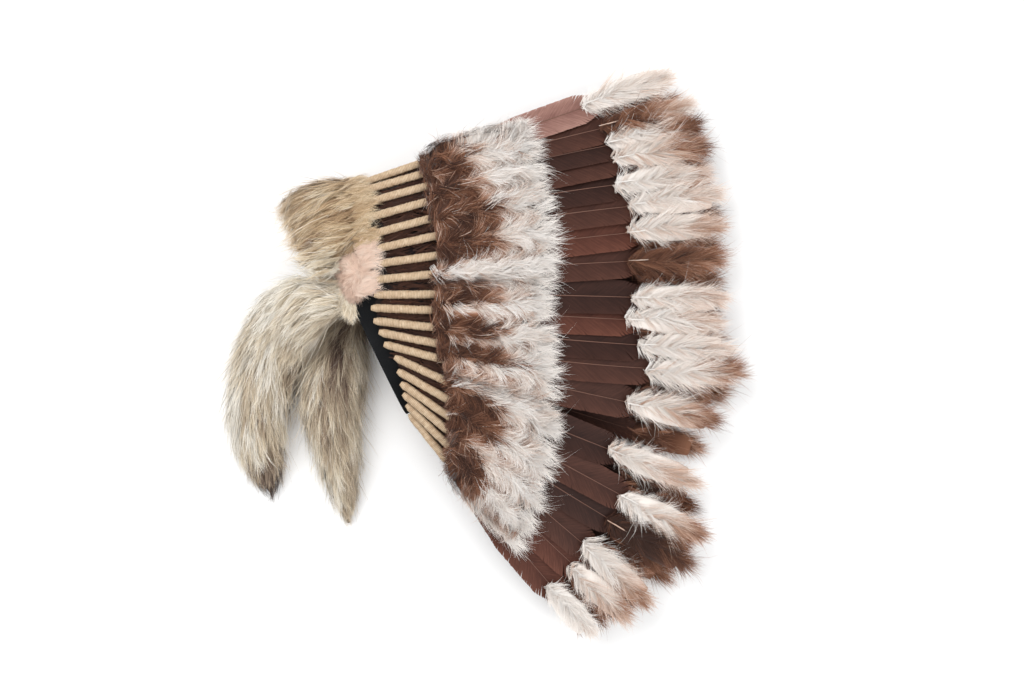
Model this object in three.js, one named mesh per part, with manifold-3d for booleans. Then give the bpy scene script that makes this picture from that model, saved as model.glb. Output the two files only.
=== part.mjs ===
// A feathered headdress, laid on its side as it is stored: a felt cap, a ring of long brown
// feathers laced round it on twine-wrapped quills, down at the foot and at the tip of each
// feather, a fur band over the brow, and a fur patch with a fur tail at each temple.
// Millimetres. Z is up from the surface that it lies on, and the feather tips point to +X.
import * as THREE from "three";
import Module from "manifold-3d";
import { mergeVertices } from "three/addons/utils/BufferGeometryUtils.js";

const wasm = await Module();
wasm.setup();

const { degToRad, lerp, clamp } = THREE.MathUtils;

// Clearances
const GAP = 0.4; // between pieces that touch
const FELT_GAP = 0.8; // under what lies on the felt's facets
const RUN_GAP = 1.2; // between two runs of plumes
const FLOOR = 0; // the surface that it lies on
const WELD = 1e-4; // points nearer than this are one point

// Felt cap, flattened as it lies
const CAP_HALF_LENGTH = 127; // brow fold to nape fold, halved
const CAP_HALF_HEIGHT = 42;
const CAP_DEPTH = 135; // rim to crown
const CAP_FULLNESS = 2.4; // 2 is an ellipsoid, more is squarer
const FELT_THICKNESS = 2.5;
const CAP_CLEARANCE = 20; // felt above the surface, on fur and feathers
const CROWN_TURN = degToRad(25); // the crown points this far from +X towards +Y
const RIM_PLACE = { x: -138, y: 45 }; // middle of the rim from the middle of the whole
const CAP_MIDDLE = CAP_CLEARANCE + CAP_HALF_HEIGHT;

// Layer of short dark feathers on the cap, under the quills
const UNDER_THICKNESS = 1;
const UNDER_TOP = 92; // how far up the cap it reaches
const UNDER_NOTCH = 9; // depth of its pointed lower edge
const UNDER_SPAN = { from: degToRad(24), to: degToRad(158) };

// Long feathers
const QUILL_RADIUS = 4.7; // over the twine
const QUILL_LENGTH = 68; // the wrapped stretch
const FEATHER_LENGTH = 300; // quill foot to vane tip
const VANE_HALF_WIDTH = 20;
const VANE_THICKNESS = 1;
const VANE_CAMBER = 1.2; // how far the edges curl in
const SHINGLE_TILT = degToRad(10); // each vane lies over the next one
const DROOP = 1.6; // power of a feather's fall from its foot to its tip
const TIP_HEIGHT = { edge: 44, middle: 60, under: 21 };

// Runs of down and plumes
const RUN_EDGE = 0.49; // its reach past its end feathers, as a share of their spacing
const OUTER_EDGE = { down: 0.12, plumes: 0.4 }; // the same, past the row's own ends

// Down at the feathers' feet
const DOWN_FROM = 66; // from the quill foot
const DOWN_TO = 196;
const DOWN_THICKNESS = 26;
const DOWN_SCALLOP = 13; // how far each tuft stands out of the row
const DOWN_NEAR_SCALLOP = 4; // the same, towards the quills
const DOWN_EDGE = 0.2; // depth at the row's edges, as a share
const DOWN_FULLNESS = 0.6; // power of the rise from there to the full depth
const DOWN_CLEFT = 0.75; // depth between two tufts, as a share
const LEAST_PILE = 1.5; // under the down and the plumes, at their thinnest

// Down at the feathers' tips
const PLUME_LENGTH = 112;
const PLUME_HALF_WIDTH = 25;
const PLUME_HALF_THICKNESS = 10;
const PLUME_FOOT = 20; // overlap with the vane's tip
const PLUME_LIFT = 3.5; // clear of the tilted vanes
const SPREAD_LIFT = 2.4; // the same, underneath
const PLUME_BACKING = 3; // the strip that holds a run of plumes together
const BACKING_SPAN = { from: 0.1, to: 0.35 }; // where it lies, as shares of PLUME_LENGTH
const PLUME_SPREAD = 21; // depth of a plume underneath, where it is flat on the surface
const SPREAD_CLEFT = 0.8; // length and depth between two of them, as shares
const SPREAD_ARCH = { least: 0.2, from: 0.1, to: 0.95 };

// Fur
const BROW_FUR = 16; // pile, off the felt
const BROW_ARCH = { least: 0.3, from: 0.12, to: 0.92 };
const BROW_LOCK = { hang: 4, pile: 0.07 }; // how alternate locks differ from the mean
const BROW_FRINGE = 26; // hangs past the rim
const BROW_END = degToRad(58); // where the band stops, at each temple
const FRINGE_PAST = degToRad(14); // its fringe goes on this far, below the patch
const BROW_CLEAR = 7; // short of the quill feet
const PATCH_PILE = 12;
const PATCH_SPAN = { from: degToRad(65), to: degToRad(88) };
const PATCH_OVERHANG = 4;
const PATCH_CORNER = 0.14; // its corners are rounded by this share of its width
const PATCH_EDGE = 0.45; // pile at its edges, as a share
const TAIL_LENGTH = 275;
const TAIL_HALF_WIDTH = 38;
const TAIL_HALF_HEIGHT = 23;
const TAIL_LOCK = 0.05; // alternate locks stand in and out by this share

// The upper side's feathers from brow to nape. turn goes round the oval from the brow fold,
// above is a share of the cap's depth, heading is from +X, bend is what the heading gains
// along the feather, reach is a share of FEATHER_LENGTH, plume is one of PLUME_LENGTH.
const FEATHER_ROWS = [
  { turn: 13, above: 0.47, heading: 19, bend: 1.3, reach: 0.912, plume: 1 },
  { turn: 25, above: 0.46, heading: 16.4, bend: -2, reach: 0.95, plume: 1 },
  { turn: 37, above: 0.47, heading: 16, bend: -4, reach: 0.945, plume: 1 },
  { turn: 49, above: 0.41, heading: 16.4, bend: -5, reach: 0.965, plume: 1 },
  { turn: 59.5, above: 0.37, heading: 16.5, bend: -9, reach: 0.955, plume: 1 },
  { turn: 68, above: 0.36, heading: 13.5, bend: -7, reach: 0.98, plume: 1 },
  { turn: 75.5, above: 0.325, heading: 8.5, bend: -2, reach: 0.965, plume: 1 },
  { turn: 82, above: 0.24, heading: 6, bend: -3, reach: 0.975, plume: 1 },
  { turn: 88.5, above: 0.19, heading: 0.9, bend: -2.5, reach: 0.985, plume: 1 },
  { turn: 93.5, above: 0.125, heading: -2, bend: -1, reach: 0.975, plume: 1 },
  { turn: 99.5, above: 0.1, heading: -6.6, bend: 3, reach: 1.015, plume: 1 },
  { turn: 105.5, above: 0.1, heading: -12, bend: 9, reach: 1.03, plume: 1 },
  { turn: 112, above: 0.095, heading: -15, bend: 3, reach: 0.955, plume: 1 },
  { turn: 120.5, above: 0.125, heading: -25.5, bend: 4, reach: 0.9, plume: 1 },
  { turn: 128.2, above: 0.1, heading: -30, bend: 1, reach: 0.985, plume: 1 },
  { turn: 136, above: 0.08, heading: -35.5, bend: 4, reach: 0.96, plume: 1 },
  { turn: 143.5, above: 0.06, heading: -39.5, bend: -2, reach: 0.91, plume: 0.97 },
  { turn: 153, above: 0.045, heading: -45, bend: 1, reach: 0.9, plume: 0.82 },
  { turn: 164, above: 0.03, heading: -52, bend: 2, reach: 0.87, plume: 0.7 },
];

// Sections of a feather. at is a share of the quill's or the vane's length, wide and thick
// are shares of the quill's radius or of the vane's half width and thickness.
const QUILL_SECTIONS = [
  { at: 0, wide: 0.6, thick: 0.6 },
  { at: 0.08, wide: 1, thick: 1 },
  { at: 0.94, wide: 1, thick: 1 },
  { at: 1, wide: 0.55, thick: 0.55 },
];
const VANE_SECTIONS = [
  { at: 0.2, wide: 0.58, thick: 1.1 },
  { at: 0.54, wide: 0.98, thick: 1.1 },
  { at: 0.88, wide: 0.95, thick: 1 },
  { at: 1, wide: 0.5, thick: 0.8 },
];

// Sections of a tip plume, as shares of its length, half width and half thickness. The
// width swings in and out from lock to lock.
const PLUME_SECTIONS = [
  { at: 0, wide: 0.12, thick: 0.3 },
  { at: 0.2, wide: 0.85, thick: 0.85 },
  { at: 0.4, wide: 0.74, thick: 1 },
  { at: 0.6, wide: 1, thick: 1 },
  { at: 0.84, wide: 0.76, thick: 0.75 },
  { at: 1, wide: 0.22, thick: 0.25 },
];

// Which feathers share a joined run of down, by place in their row
const DOWN_GROUPS_TOP = [
  [0, 7],
  [8, 12],
  [13, 18],
];
const DOWN_GROUPS_UNDER = [
  [0, 5],
  [6, 11],
  [12, 17],
];
const PLUME_GROUPS_TOP = [
  [0, 3],
  [4, 7],
  [8, 12],
  [13, 15],
  [16, 18],
];
const PLUME_GROUPS_UNDER = [
  [0, 5],
  [6, 11],
  [12, 17],
];

// Tail sections from root to tip: right and back are shares of TAIL_LENGTH from the
// temple, up is a height over the surface as a share of the cap's, wide and high are
// shares of the tail's half width and half height.
const TAIL_TOP = [
  { right: -0.055, back: -0.022, up: 1.0, wide: 0.2, high: 0.22 },
  { right: -0.114, back: -0.026, up: 0.95, wide: 0.62, high: 0.6 },
  { right: -0.203, back: -0.01, up: 0.79, wide: 0.92, high: 0.95 },
  { right: -0.288, back: 0.065, up: 0.52, wide: 1, high: 1 },
  { right: -0.355, back: 0.178, up: 0.3, wide: 0.98, high: 1 },
  { right: -0.402, back: 0.318, up: 0.22, wide: 0.94, high: 1 },
  { right: -0.412, back: 0.458, up: 0.2, wide: 0.84, high: 0.9 },
  { right: -0.394, back: 0.59, up: 0.16, wide: 0.68, high: 0.75 },
  { right: -0.372, back: 0.686, up: 0.1, wide: 0.42, high: 0.5 },
  { right: -0.36, back: 0.758, up: 0.035, wide: 0.08, high: 0.12 },
];
const TAIL_UNDER = [
  { right: -0.005, back: -0.02, up: 0.16, wide: 0.2, high: 0.22 },
  { right: -0.045, back: 0.06, up: 0.13, wide: 0.6, high: 0.5 },
  { right: -0.08, back: 0.155, up: 0.165, wide: 0.86, high: 0.72 },
  { right: -0.1, back: 0.265, up: 0.215, wide: 1, high: 1 },
  { right: -0.11, back: 0.38, up: 0.22, wide: 0.88, high: 1 },
  { right: -0.1, back: 0.5, up: 0.2, wide: 0.76, high: 0.92 },
  { right: -0.082, back: 0.61, up: 0.17, wide: 0.62, high: 0.78 },
  { right: -0.066, back: 0.715, up: 0.12, wide: 0.44, high: 0.55 },
  { right: -0.052, back: 0.8, up: 0.07, wide: 0.26, high: 0.3 },
  { right: -0.045, back: 0.87, up: 0.025, wide: 0.06, high: 0.1 },
];

const MATERIALS = {
  felt: new THREE.MeshStandardMaterial({ color: 0x1b1c1e, roughness: 0.95 }),
  vane: new THREE.MeshStandardMaterial({ color: 0x4a2d26, roughness: 0.55 }),
  under: new THREE.MeshStandardMaterial({ color: 0x2e1c1c, roughness: 0.6 }),
  down: new THREE.MeshStandardMaterial({ color: 0xd8cfc4, roughness: 1 }),
  brown_down: new THREE.MeshStandardMaterial({ color: 0x7c4a32, roughness: 1 }),
  tan_fur: new THREE.MeshStandardMaterial({ color: 0xb4966c, roughness: 1 }),
  pink_fur: new THREE.MeshStandardMaterial({ color: 0xe3bfa8, roughness: 1 }),
  grey_fur: new THREE.MeshStandardMaterial({ color: 0xb5a68c, roughness: 1 }),
};

// Solids

// Turns the faces of a closed geometry outwards.
function facingOut(points, faces) {
  let volume = 0;
  for (const [a, b, c] of faces) {
    volume += points[a].dot(new THREE.Vector3().crossVectors(points[b], points[c]));
  }
  const index = faces.flatMap(([a, b, c]) => (volume < 0 ? [a, c, b] : [a, b, c]));
  const geometry = new THREE.BufferGeometry().setFromPoints(points);
  geometry.setIndex(index);
  geometry.computeVertexNormals();
  return geometry;
}

// A closed solid through rings of points, with a flat fan over each end. slants tells which
// faces have their diagonal from their first corner; the rest have the other one.
function loft(rings, slants = []) {
  const count = rings[0].length;
  const points = rings.flat();
  const faces = [];
  const last = (rings.length - 1) * count;
  for (let k = 1; k + 1 < count; k++) {
    faces.push([0, k + 1, k], [last, last + k, last + k + 1]);
  }
  for (let r = 0; r + 1 < rings.length; r++) {
    for (let k = 0; k < count; k++) {
      const a = r * count + k;
      const b = r * count + ((k + 1) % count);
      if (slants[k]) faces.push([a, b, b + count], [a, b + count, a + count]);
      else faces.push([a, b, a + count], [b, b + count, a + count]);
    }
  }
  return facingOut(points, faces);
}

// A closed sheet between two surfaces, each a function of two shares from 0 to 1.
function slab(columns, rows, under, over) {
  const points = [];
  for (const surface of [under, over]) {
    for (let i = 0; i <= columns; i++) {
      for (let j = 0; j <= rows; j++) {
        points.push(surface(i / columns, j / rows));
      }
    }
  }
  const layer = (columns + 1) * (rows + 1);
  const at = (i, j, level) => level * layer + i * (rows + 1) + j;
  const faces = [];
  const quad = (a, b, c, d) => faces.push([a, b, c], [a, c, d]);
  for (let i = 0; i < columns; i++) {
    for (let j = 0; j < rows; j++) {
      quad(at(i, j, 1), at(i + 1, j, 1), at(i + 1, j + 1, 1), at(i, j + 1, 1));
      quad(at(i, j, 0), at(i, j + 1, 0), at(i + 1, j + 1, 0), at(i + 1, j, 0));
    }
    quad(at(i, 0, 0), at(i + 1, 0, 0), at(i + 1, 0, 1), at(i, 0, 1));
    quad(at(i, rows, 1), at(i + 1, rows, 1), at(i + 1, rows, 0), at(i, rows, 0));
  }
  for (let j = 0; j < rows; j++) {
    quad(at(0, j, 1), at(0, j + 1, 1), at(0, j + 1, 0), at(0, j, 0));
    quad(at(columns, j, 0), at(columns, j + 1, 0), at(columns, j + 1, 1), at(columns, j, 1));
  }
  return facingOut(points, faces);
}

// A geometry as a solid that can be joined and cut.
function toSolid(geometry) {
  const bare = geometry.clone();
  bare.deleteAttribute("normal");
  const merged = mergeVertices(bare, WELD);
  return new wasm.Manifold(
    new wasm.Mesh({
      numProp: 3,
      vertProperties: merged.attributes.position.array,
      triVerts: new Uint32Array(merged.index.array),
    }),
  );
}

function toGeometry(solid) {
  const mesh = solid.getMesh();
  const geometry = new THREE.BufferGeometry();
  geometry.setAttribute("position", new THREE.BufferAttribute(mesh.vertProperties, 3));
  geometry.setIndex(new THREE.BufferAttribute(mesh.triVerts, 1));
  geometry.computeVertexNormals();
  return geometry;
}

// The cap and what lies on it

// From the cap's own directions to the part's: along runs from brow to nape, rise from the
// rim to the crown, up from the middle of the flattened cap.
function fromCap(along, rise, up) {
  return new THREE.Vector3(
    RIM_PLACE.x + rise * Math.cos(CROWN_TURN) + along * Math.sin(CROWN_TURN),
    RIM_PLACE.y + rise * Math.sin(CROWN_TURN) - along * Math.cos(CROWN_TURN),
    CAP_MIDDLE + up,
  );
}

// A point on the cap. turn goes round the oval from the brow fold over the top, rise from
// the rim, out stands off the felt, and inset makes the whole dome smaller.
function domePoint(turn, rise, out = 0, inset = 0) {
  const long = CAP_HALF_LENGTH - inset;
  const high = CAP_HALF_HEIGHT - inset;
  const share = clamp(rise / (CAP_DEPTH - inset), 0, 1);
  const shrink = (1 - share ** CAP_FULLNESS) ** (1 / CAP_FULLNESS);
  const cos = Math.cos(turn);
  const sin = Math.sin(turn);
  const slope = Math.hypot(high * cos, long * sin);
  const along = -(long * shrink + (out * high) / slope) * cos;
  const up = (high * shrink + (out * long) / slope) * sin;
  return fromCap(along, rise, up);
}

// A hollow cap: inside from crown to rim, then outside from rim to crown.
function feltCap() {
  const sides = 24;
  const shares = [0.985, 0.9, 0.75, 0.55, 0.3, 0];
  const ring = (share, inset) =>
    Array.from({ length: sides }, (_, k) =>
      domePoint((k / sides) * 2 * Math.PI, share * (CAP_DEPTH - inset), 0, inset),
    );
  const inside = shares.map((share) => ring(share, FELT_THICKNESS));
  const outside = shares.map((share) => ring(share, 0)).reverse();
  return loft([...inside, ...outside]);
}

const bump = (share) => Math.sin(Math.PI * clamp(share, 0, 1));

// The depth of a pile at a share of the way over it, as a share of its full depth: least at
// the edges of its arch, of which it covers the stretch between from and to.
const arched = ({ least, from, to }, share) => lerp(least, 1, bump(lerp(from, to, share)));

// The height of the quills' feet up the cap at a turn, between the rows of the table.
function footRise(turn) {
  const degrees = Math.abs((turn * 180) / Math.PI);
  const next = FEATHER_ROWS.findIndex((row) => row.turn > degrees);
  if (next === 0) return FEATHER_ROWS[0].above * CAP_DEPTH;
  if (next < 0) return FEATHER_ROWS.at(-1).above * CAP_DEPTH;
  const [a, b] = [FEATHER_ROWS[next - 1], FEATHER_ROWS[next]];
  return lerp(a.above, b.above, (degrees - a.turn) / (b.turn - a.turn)) * CAP_DEPTH;
}

// Fur round the brow, from temple to temple over the fold, with a fringe of locks that goes
// on below the patches.
function browFur() {
  const columns = 24;
  const fringe = 3 / columns;
  const locks = (p) => (Math.round(p * columns) % 2 ? 1 : -1);
  const hangs = (p) => p < fringe || p > 1 - fringe;
  const turn = (p) => {
    const beyond = Math.max(0, fringe - p, p - 1 + fringe) / fringe;
    const inside = clamp((p - fringe) / (1 - 2 * fringe), 0, 1);
    return lerp(-BROW_END, BROW_END, inside) + Math.sign(p - 0.5) * beyond * FRINGE_PAST;
  };
  const rise = (p, q) => {
    const low = -BROW_FRINGE - BROW_LOCK.hang * locks(p);
    const high = hangs(p) ? -PATCH_OVERHANG - 2 * GAP : footRise(turn(p)) - BROW_CLEAR;
    return lerp(low, high, q);
  };
  const pile = (p, q) => BROW_FUR * arched(BROW_ARCH, q) * (1 + BROW_LOCK.pile * locks(p));
  const under = (p, q) => domePoint(turn(p), rise(p, q), FELT_GAP);
  const over = (p, q) => {
    const point = domePoint(turn(p), rise(p, q), FELT_GAP + pile(p, q));
    point.z = Math.max(point.z, FLOOR);
    return point;
  };
  return slab(columns, 4, under, over);
}

// A rounded pad of short fur at one temple. side is 1 on top and -1 underneath.
function templePatch(side) {
  const corner = (q) => PATCH_CORNER * (1 - Math.sqrt(bump(q)));
  const turn = (p, q) =>
    side * lerp(PATCH_SPAN.from, PATCH_SPAN.to, lerp(corner(q), 1 - corner(q), p));
  const rise = (p, q) => lerp(-PATCH_OVERHANG, footRise(turn(p, 0.5)) - BROW_CLEAR, q);
  const pile = (p, q) => PATCH_PILE * lerp(PATCH_EDGE, 1, Math.sqrt(bump(p) * bump(q)));
  return slab(
    6,
    5,
    (p, q) => domePoint(turn(p, q), rise(p, q), FELT_GAP),
    (p, q) => domePoint(turn(p, q), rise(p, q), FELT_GAP + pile(p, q)),
  );
}

// Short dark feathers on the cap, as one sheet with a pointed lower edge.
function underFeathers(side) {
  const columns = 16;
  const turn = (p) => side * lerp(UNDER_SPAN.from, UNDER_SPAN.to, p);
  const rise = (p, q) => {
    const notch = Math.round(p * columns) % 2 ? 0 : UNDER_NOTCH;
    return lerp(footRise(turn(p)) + notch, UNDER_TOP, q);
  };
  return slab(
    columns,
    3,
    (p, q) => domePoint(turn(p), rise(p, q), FELT_GAP),
    (p, q) => domePoint(turn(p), rise(p, q), FELT_GAP + UNDER_THICKNESS),
  );
}

// Feathers

// A feather's own values from a row of the table, on the upper or the lower side.
function featherOf(row, side, rank) {
  const seat = FELT_GAP + UNDER_THICKNESS + GAP + QUILL_RADIUS;
  const foot = domePoint(side * degToRad(row.turn), row.above * CAP_DEPTH, seat);
  const arch = Math.sin(Math.PI * rank);
  const tip = side > 0 ? lerp(TIP_HEIGHT.edge, TIP_HEIGHT.middle, arch) : TIP_HEIGHT.under;
  const length = row.reach * FEATHER_LENGTH;
  return { ...row, side, foot, tip, length };
}

// The lower side's feathers lie between the upper side's.
function between(a, b) {
  return Object.fromEntries(Object.keys(a).map((key) => [key, (a[key] + b[key]) / 2]));
}

const TOP = FEATHER_ROWS.map((row, i) =>
  featherOf(row, 1, (i + 0.5) / FEATHER_ROWS.length),
);
const UNDER = FEATHER_ROWS.slice(1).map((row, i) =>
  featherOf(between(FEATHER_ROWS[i], row), -1, (i + 1) / FEATHER_ROWS.length),
);

// The middle line of one feather, s millimetres from its foot. It goes on past the tip.
function shaftPoint(feather, s) {
  const share = s / feather.length;
  const heading = degToRad(feather.heading + (feather.bend * share) / 2);
  const fall = (feather.tip - feather.foot.z) * Math.max(share, 0) ** DROOP;
  return new THREE.Vector3(
    feather.foot.x + s * Math.cos(heading),
    feather.foot.y + s * Math.sin(heading),
    feather.foot.z + fall,
  );
}

// The sheet that a side's feathers lie in, at any place between them: its point and its
// directions along the feathers, across them towards the nape, and outwards.
function fanFrame(feathers, place, s) {
  const low = clamp(Math.floor(place), 0, feathers.length - 2);
  const at = (t, r) =>
    shaftPoint(feathers[low], r).lerp(shaftPoint(feathers[low + 1], r), t - low);
  const step = 1;
  const point = at(place, s);
  const along = at(place, s + step).sub(at(place, s - step)).normalize();
  const from = clamp(place - 1, 0, feathers.length - 1);
  const to = clamp(place + 1, 0, feathers.length - 1);
  const wide = (t) => {
    const k = clamp(Math.floor(t), 0, feathers.length - 2);
    return shaftPoint(feathers[k], s).lerp(shaftPoint(feathers[k + 1], s), t - k);
  };
  const across = wide(to).sub(wide(from));
  across.addScaledVector(along, -across.dot(along)).normalize();
  const out = new THREE.Vector3().crossVectors(across, along);
  out.multiplyScalar(Math.sign(out.z) * feathers[0].side);
  return { point, along, across, out };
}

// Six points round a feather: edges, and two on each face. The diagonals between two rings
// are alike on both faces, so that a twisted vane is nowhere thinner than its edges.
const RING_CORNERS = [120, 60, 0, -60, -120, 180].map(degToRad);
const RING_SLANTS = [true, true, false, false, true, false];
const RING_FULLNESS = 1.15; // so that the flat faces lie at the whole thickness

// room is the most that it may spread towards the brow and towards the nape.
function featherRing(frame, half, thick, camber, tilt, room = [Infinity, Infinity]) {
  const wide = frame.across.clone().multiplyScalar(Math.cos(tilt));
  wide.addScaledVector(frame.out, Math.sin(tilt));
  const face = frame.out.clone().multiplyScalar(Math.cos(tilt));
  face.addScaledVector(frame.across, -Math.sin(tilt));
  return RING_CORNERS.map((angle) => {
    const c = Math.cos(angle);
    return frame.point
      .clone()
      .addScaledVector(wide, Math.min(half, room[c < 0 ? 0 : 1]) * c)
      .addScaledVector(face, thick * Math.sin(angle) * RING_FULLNESS - camber * c * c);
  });
}

// One feather: the wrapped quill and the vane, in one piece.
function featherSolid(feathers, place) {
  const feather = feathers[place];
  const vane = feather.length - QUILL_LENGTH;
  const quill = QUILL_SECTIONS.map(({ at, wide, thick }) => {
    const frame = fanFrame(feathers, place, at * QUILL_LENGTH);
    return featherRing(frame, wide * QUILL_RADIUS, thick * QUILL_RADIUS, 0, 0);
  });
  const blade = VANE_SECTIONS.map(({ at, wide, thick }) => {
    const frame = fanFrame(feathers, place, QUILL_LENGTH + at * vane);
    const half = wide * VANE_HALF_WIDTH;
    return featherRing(frame, half, (thick * VANE_THICKNESS) / 2, VANE_CAMBER, SHINGLE_TILT);
  });
  return loft([...quill, ...blade], RING_SLANTS);
}

// Down over a run of feathers in one row of tufts. from and to are distances along the
// feathers and depth is off them, each at a place in the row and a share of its tuft.
function tuftedRun(feathers, [first, last], { perFeather, rows, outer, lift, from, to, depth }) {
  const start = first === 0 ? -outer : first - RUN_EDGE;
  const end = last === feathers.length - 1 ? last + outer : last + RUN_EDGE;
  const place = (p) => lerp(start, end, p);
  const tuft = (p) => Math.cos(Math.PI * place(p)) ** 2;
  const point = (p, q, more) => {
    const s = lerp(from(place(p), tuft(p)), to(place(p), tuft(p)), q);
    const frame = fanFrame(feathers, place(p), s);
    frame.point.addScaledVector(frame.out, lift + more);
    frame.point.z = Math.max(frame.point.z, FLOOR);
    return frame.point;
  };
  return slab(
    (last - first + 1) * perFeather,
    rows,
    (p, q) => point(p, q, 0),
    (p, q) => point(p, q, depth(q, tuft(p))),
  );
}

// Down at the feathers' feet: a brown tier nearest the quills and a pale one past it.
function footDown(feathers, run) {
  return tuftedRun(feathers, run, {
    perFeather: 3,
    rows: 4,
    outer: OUTER_EDGE.down,
    lift: QUILL_RADIUS + GAP,
    from: (place, tuft) => DOWN_FROM - DOWN_NEAR_SCALLOP * tuft,
    to: (place, tuft) => DOWN_TO + DOWN_SCALLOP * tuft,
    depth: (q, tuft) => {
      const rise = lerp(DOWN_EDGE, 1, bump(q) ** DOWN_FULLNESS);
      return LEAST_PILE + DOWN_THICKNESS * rise * lerp(DOWN_CLEFT, 1, tuft);
    },
  });
}

const valueAt = (feathers, place, key) => {
  const low = clamp(Math.floor(place), 0, feathers.length - 2);
  return lerp(feathers[low][key], feathers[low + 1][key], place - low);
};

// Where the tip plumes' feet are, at any place in their row.
const plumeFoot = (feathers, place) => valueAt(feathers, place, "length") - PLUME_FOOT;

// Plumes underneath, flat on the surface, with deep clefts between them.
function plumesUnder(feathers, run) {
  const foot = (place) => plumeFoot(feathers, place);
  const long = (place) => PLUME_LENGTH * valueAt(feathers, place, "plume");
  return tuftedRun(feathers, run, {
    perFeather: 3,
    rows: 3,
    outer: OUTER_EDGE.plumes,
    lift: SPREAD_LIFT,
    from: foot,
    to: (place, tuft) => foot(place) + long(place) * lerp(SPREAD_CLEFT, 1, tuft),
    depth: (q, tuft) =>
      LEAST_PILE + PLUME_SPREAD * arched(SPREAD_ARCH, q) * lerp(SPREAD_CLEFT, 1, tuft),
  });
}

// One tip plume on the upper side, lying on its vane's tip. It stays on its own side of the
// middle line to a neighbour that is in another run.
function tipPlume(feathers, place, [first, last]) {
  const { length, plume } = feathers[place];
  const roomTo = (other, s) => {
    if (other >= first && other <= last) return Infinity;
    if (other < 0 || other >= feathers.length) return Infinity;
    const apart = shaftPoint(feathers[place], s).distanceTo(shaftPoint(feathers[other], s));
    return (apart - RUN_GAP) / 2;
  };
  return loft(
    PLUME_SECTIONS.map(({ at, wide, thick }) => {
      const s = length - PLUME_FOOT + at * plume * PLUME_LENGTH;
      const frame = fanFrame(feathers, place, s);
      const half = thick * PLUME_HALF_THICKNESS;
      frame.point.addScaledVector(frame.out, PLUME_LIFT + half);
      const room = [roomTo(place - 1, s), roomTo(place + 1, s)];
      return featherRing(frame, wide * PLUME_HALF_WIDTH, half, 0, 0, room);
    }),
    RING_SLANTS,
  );
}

// The plumes of a run on the upper side, joined on a thin backing under their feet.
function plumesTop(feathers, run) {
  const foot = (place) => plumeFoot(feathers, place);
  const backing = tuftedRun(feathers, run, {
    perFeather: 1,
    rows: 1,
    outer: 0,
    lift: PLUME_LIFT,
    from: (place) => foot(place) + BACKING_SPAN.from * PLUME_LENGTH,
    to: (place) => foot(place) + BACKING_SPAN.to * PLUME_LENGTH,
    depth: () => PLUME_BACKING,
  });
  let joined = toSolid(backing);
  for (let place = run[0]; place <= run[1]; place++) {
    joined = joined.add(toSolid(tipPlume(feathers, place, run)));
  }
  return toGeometry(joined);
}

// A fur tail that starts at a temple and ends in a point. The fur lies flat on the floor.
function furTail(sections) {
  const sides = 10;
  const temple = fromCap(0, -PATCH_OVERHANG, 0);
  const middle = (row) =>
    new THREE.Vector3(
      temple.x + row.right * TAIL_LENGTH,
      temple.y - row.back * TAIL_LENGTH,
      row.up * (CAP_MIDDLE + CAP_HALF_HEIGHT),
    );
  const up = new THREE.Vector3(0, 0, 1);
  return loft(
    sections.map((row, r) => {
      const ahead = middle(sections[Math.min(r + 1, sections.length - 1)]);
      const along = ahead.sub(middle(sections[Math.max(r - 1, 0)])).normalize();
      const across = new THREE.Vector3().crossVectors(along, up).normalize();
      const over = new THREE.Vector3().crossVectors(across, along);
      return Array.from({ length: sides }, (_, k) => {
        const angle = (k / sides) * 2 * Math.PI;
        const lock = 1 + ((k + r) % 2 ? TAIL_LOCK : -TAIL_LOCK);
        const point = middle(row)
          .addScaledVector(across, Math.cos(angle) * row.wide * lock * TAIL_HALF_WIDTH)
          .addScaledVector(over, Math.sin(angle) * row.high * lock * TAIL_HALF_HEIGHT);
        point.z = Math.max(point.z, FLOOR);
        return point;
      });
    }),
  );
}

// The assembly

const headdress = new THREE.Group();

function addPiece(name, geometry, material) {
  const mesh = new THREE.Mesh(geometry, material);
  mesh.name = name;
  headdress.add(mesh);
}

const numbered = (name, i) => `${name}_${String(i + 1).padStart(2, "0")}`;

addPiece("felt_cap", feltCap(), MATERIALS.felt);
addPiece("brow_fur", browFur(), MATERIALS.tan_fur);
addPiece("under_feathers_top", underFeathers(1), MATERIALS.under);
addPiece("under_feathers_under", underFeathers(-1), MATERIALS.under);
addPiece("temple_patch_top", templePatch(1), MATERIALS.pink_fur);
addPiece("temple_patch_under", templePatch(-1), MATERIALS.pink_fur);
addPiece("fur_tail_top", furTail(TAIL_TOP), MATERIALS.grey_fur);
addPiece("fur_tail_under", furTail(TAIL_UNDER), MATERIALS.grey_fur);

TOP.forEach((_, i) =>
  addPiece(numbered("feather_top", i), featherSolid(TOP, i), MATERIALS.vane),
);
UNDER.forEach((_, i) =>
  addPiece(numbered("feather_under", i), featherSolid(UNDER, i), MATERIALS.vane),
);
DOWN_GROUPS_TOP.forEach((run, i) =>
  addPiece(numbered("foot_down_top", i), footDown(TOP, run), MATERIALS.brown_down),
);
DOWN_GROUPS_UNDER.forEach((run, i) =>
  addPiece(numbered("foot_down_under", i), footDown(UNDER, run), MATERIALS.brown_down),
);
PLUME_GROUPS_TOP.forEach((run, i) =>
  addPiece(numbered("tip_plumes_top", i), plumesTop(TOP, run), MATERIALS.down),
);
PLUME_GROUPS_UNDER.forEach((run, i) =>
  addPiece(numbered("tip_plumes_under", i), plumesUnder(UNDER, run), MATERIALS.down),
);

export default headdress;
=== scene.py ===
import logging
import math
from dataclasses import dataclass, field, replace
from enum import Enum

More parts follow.
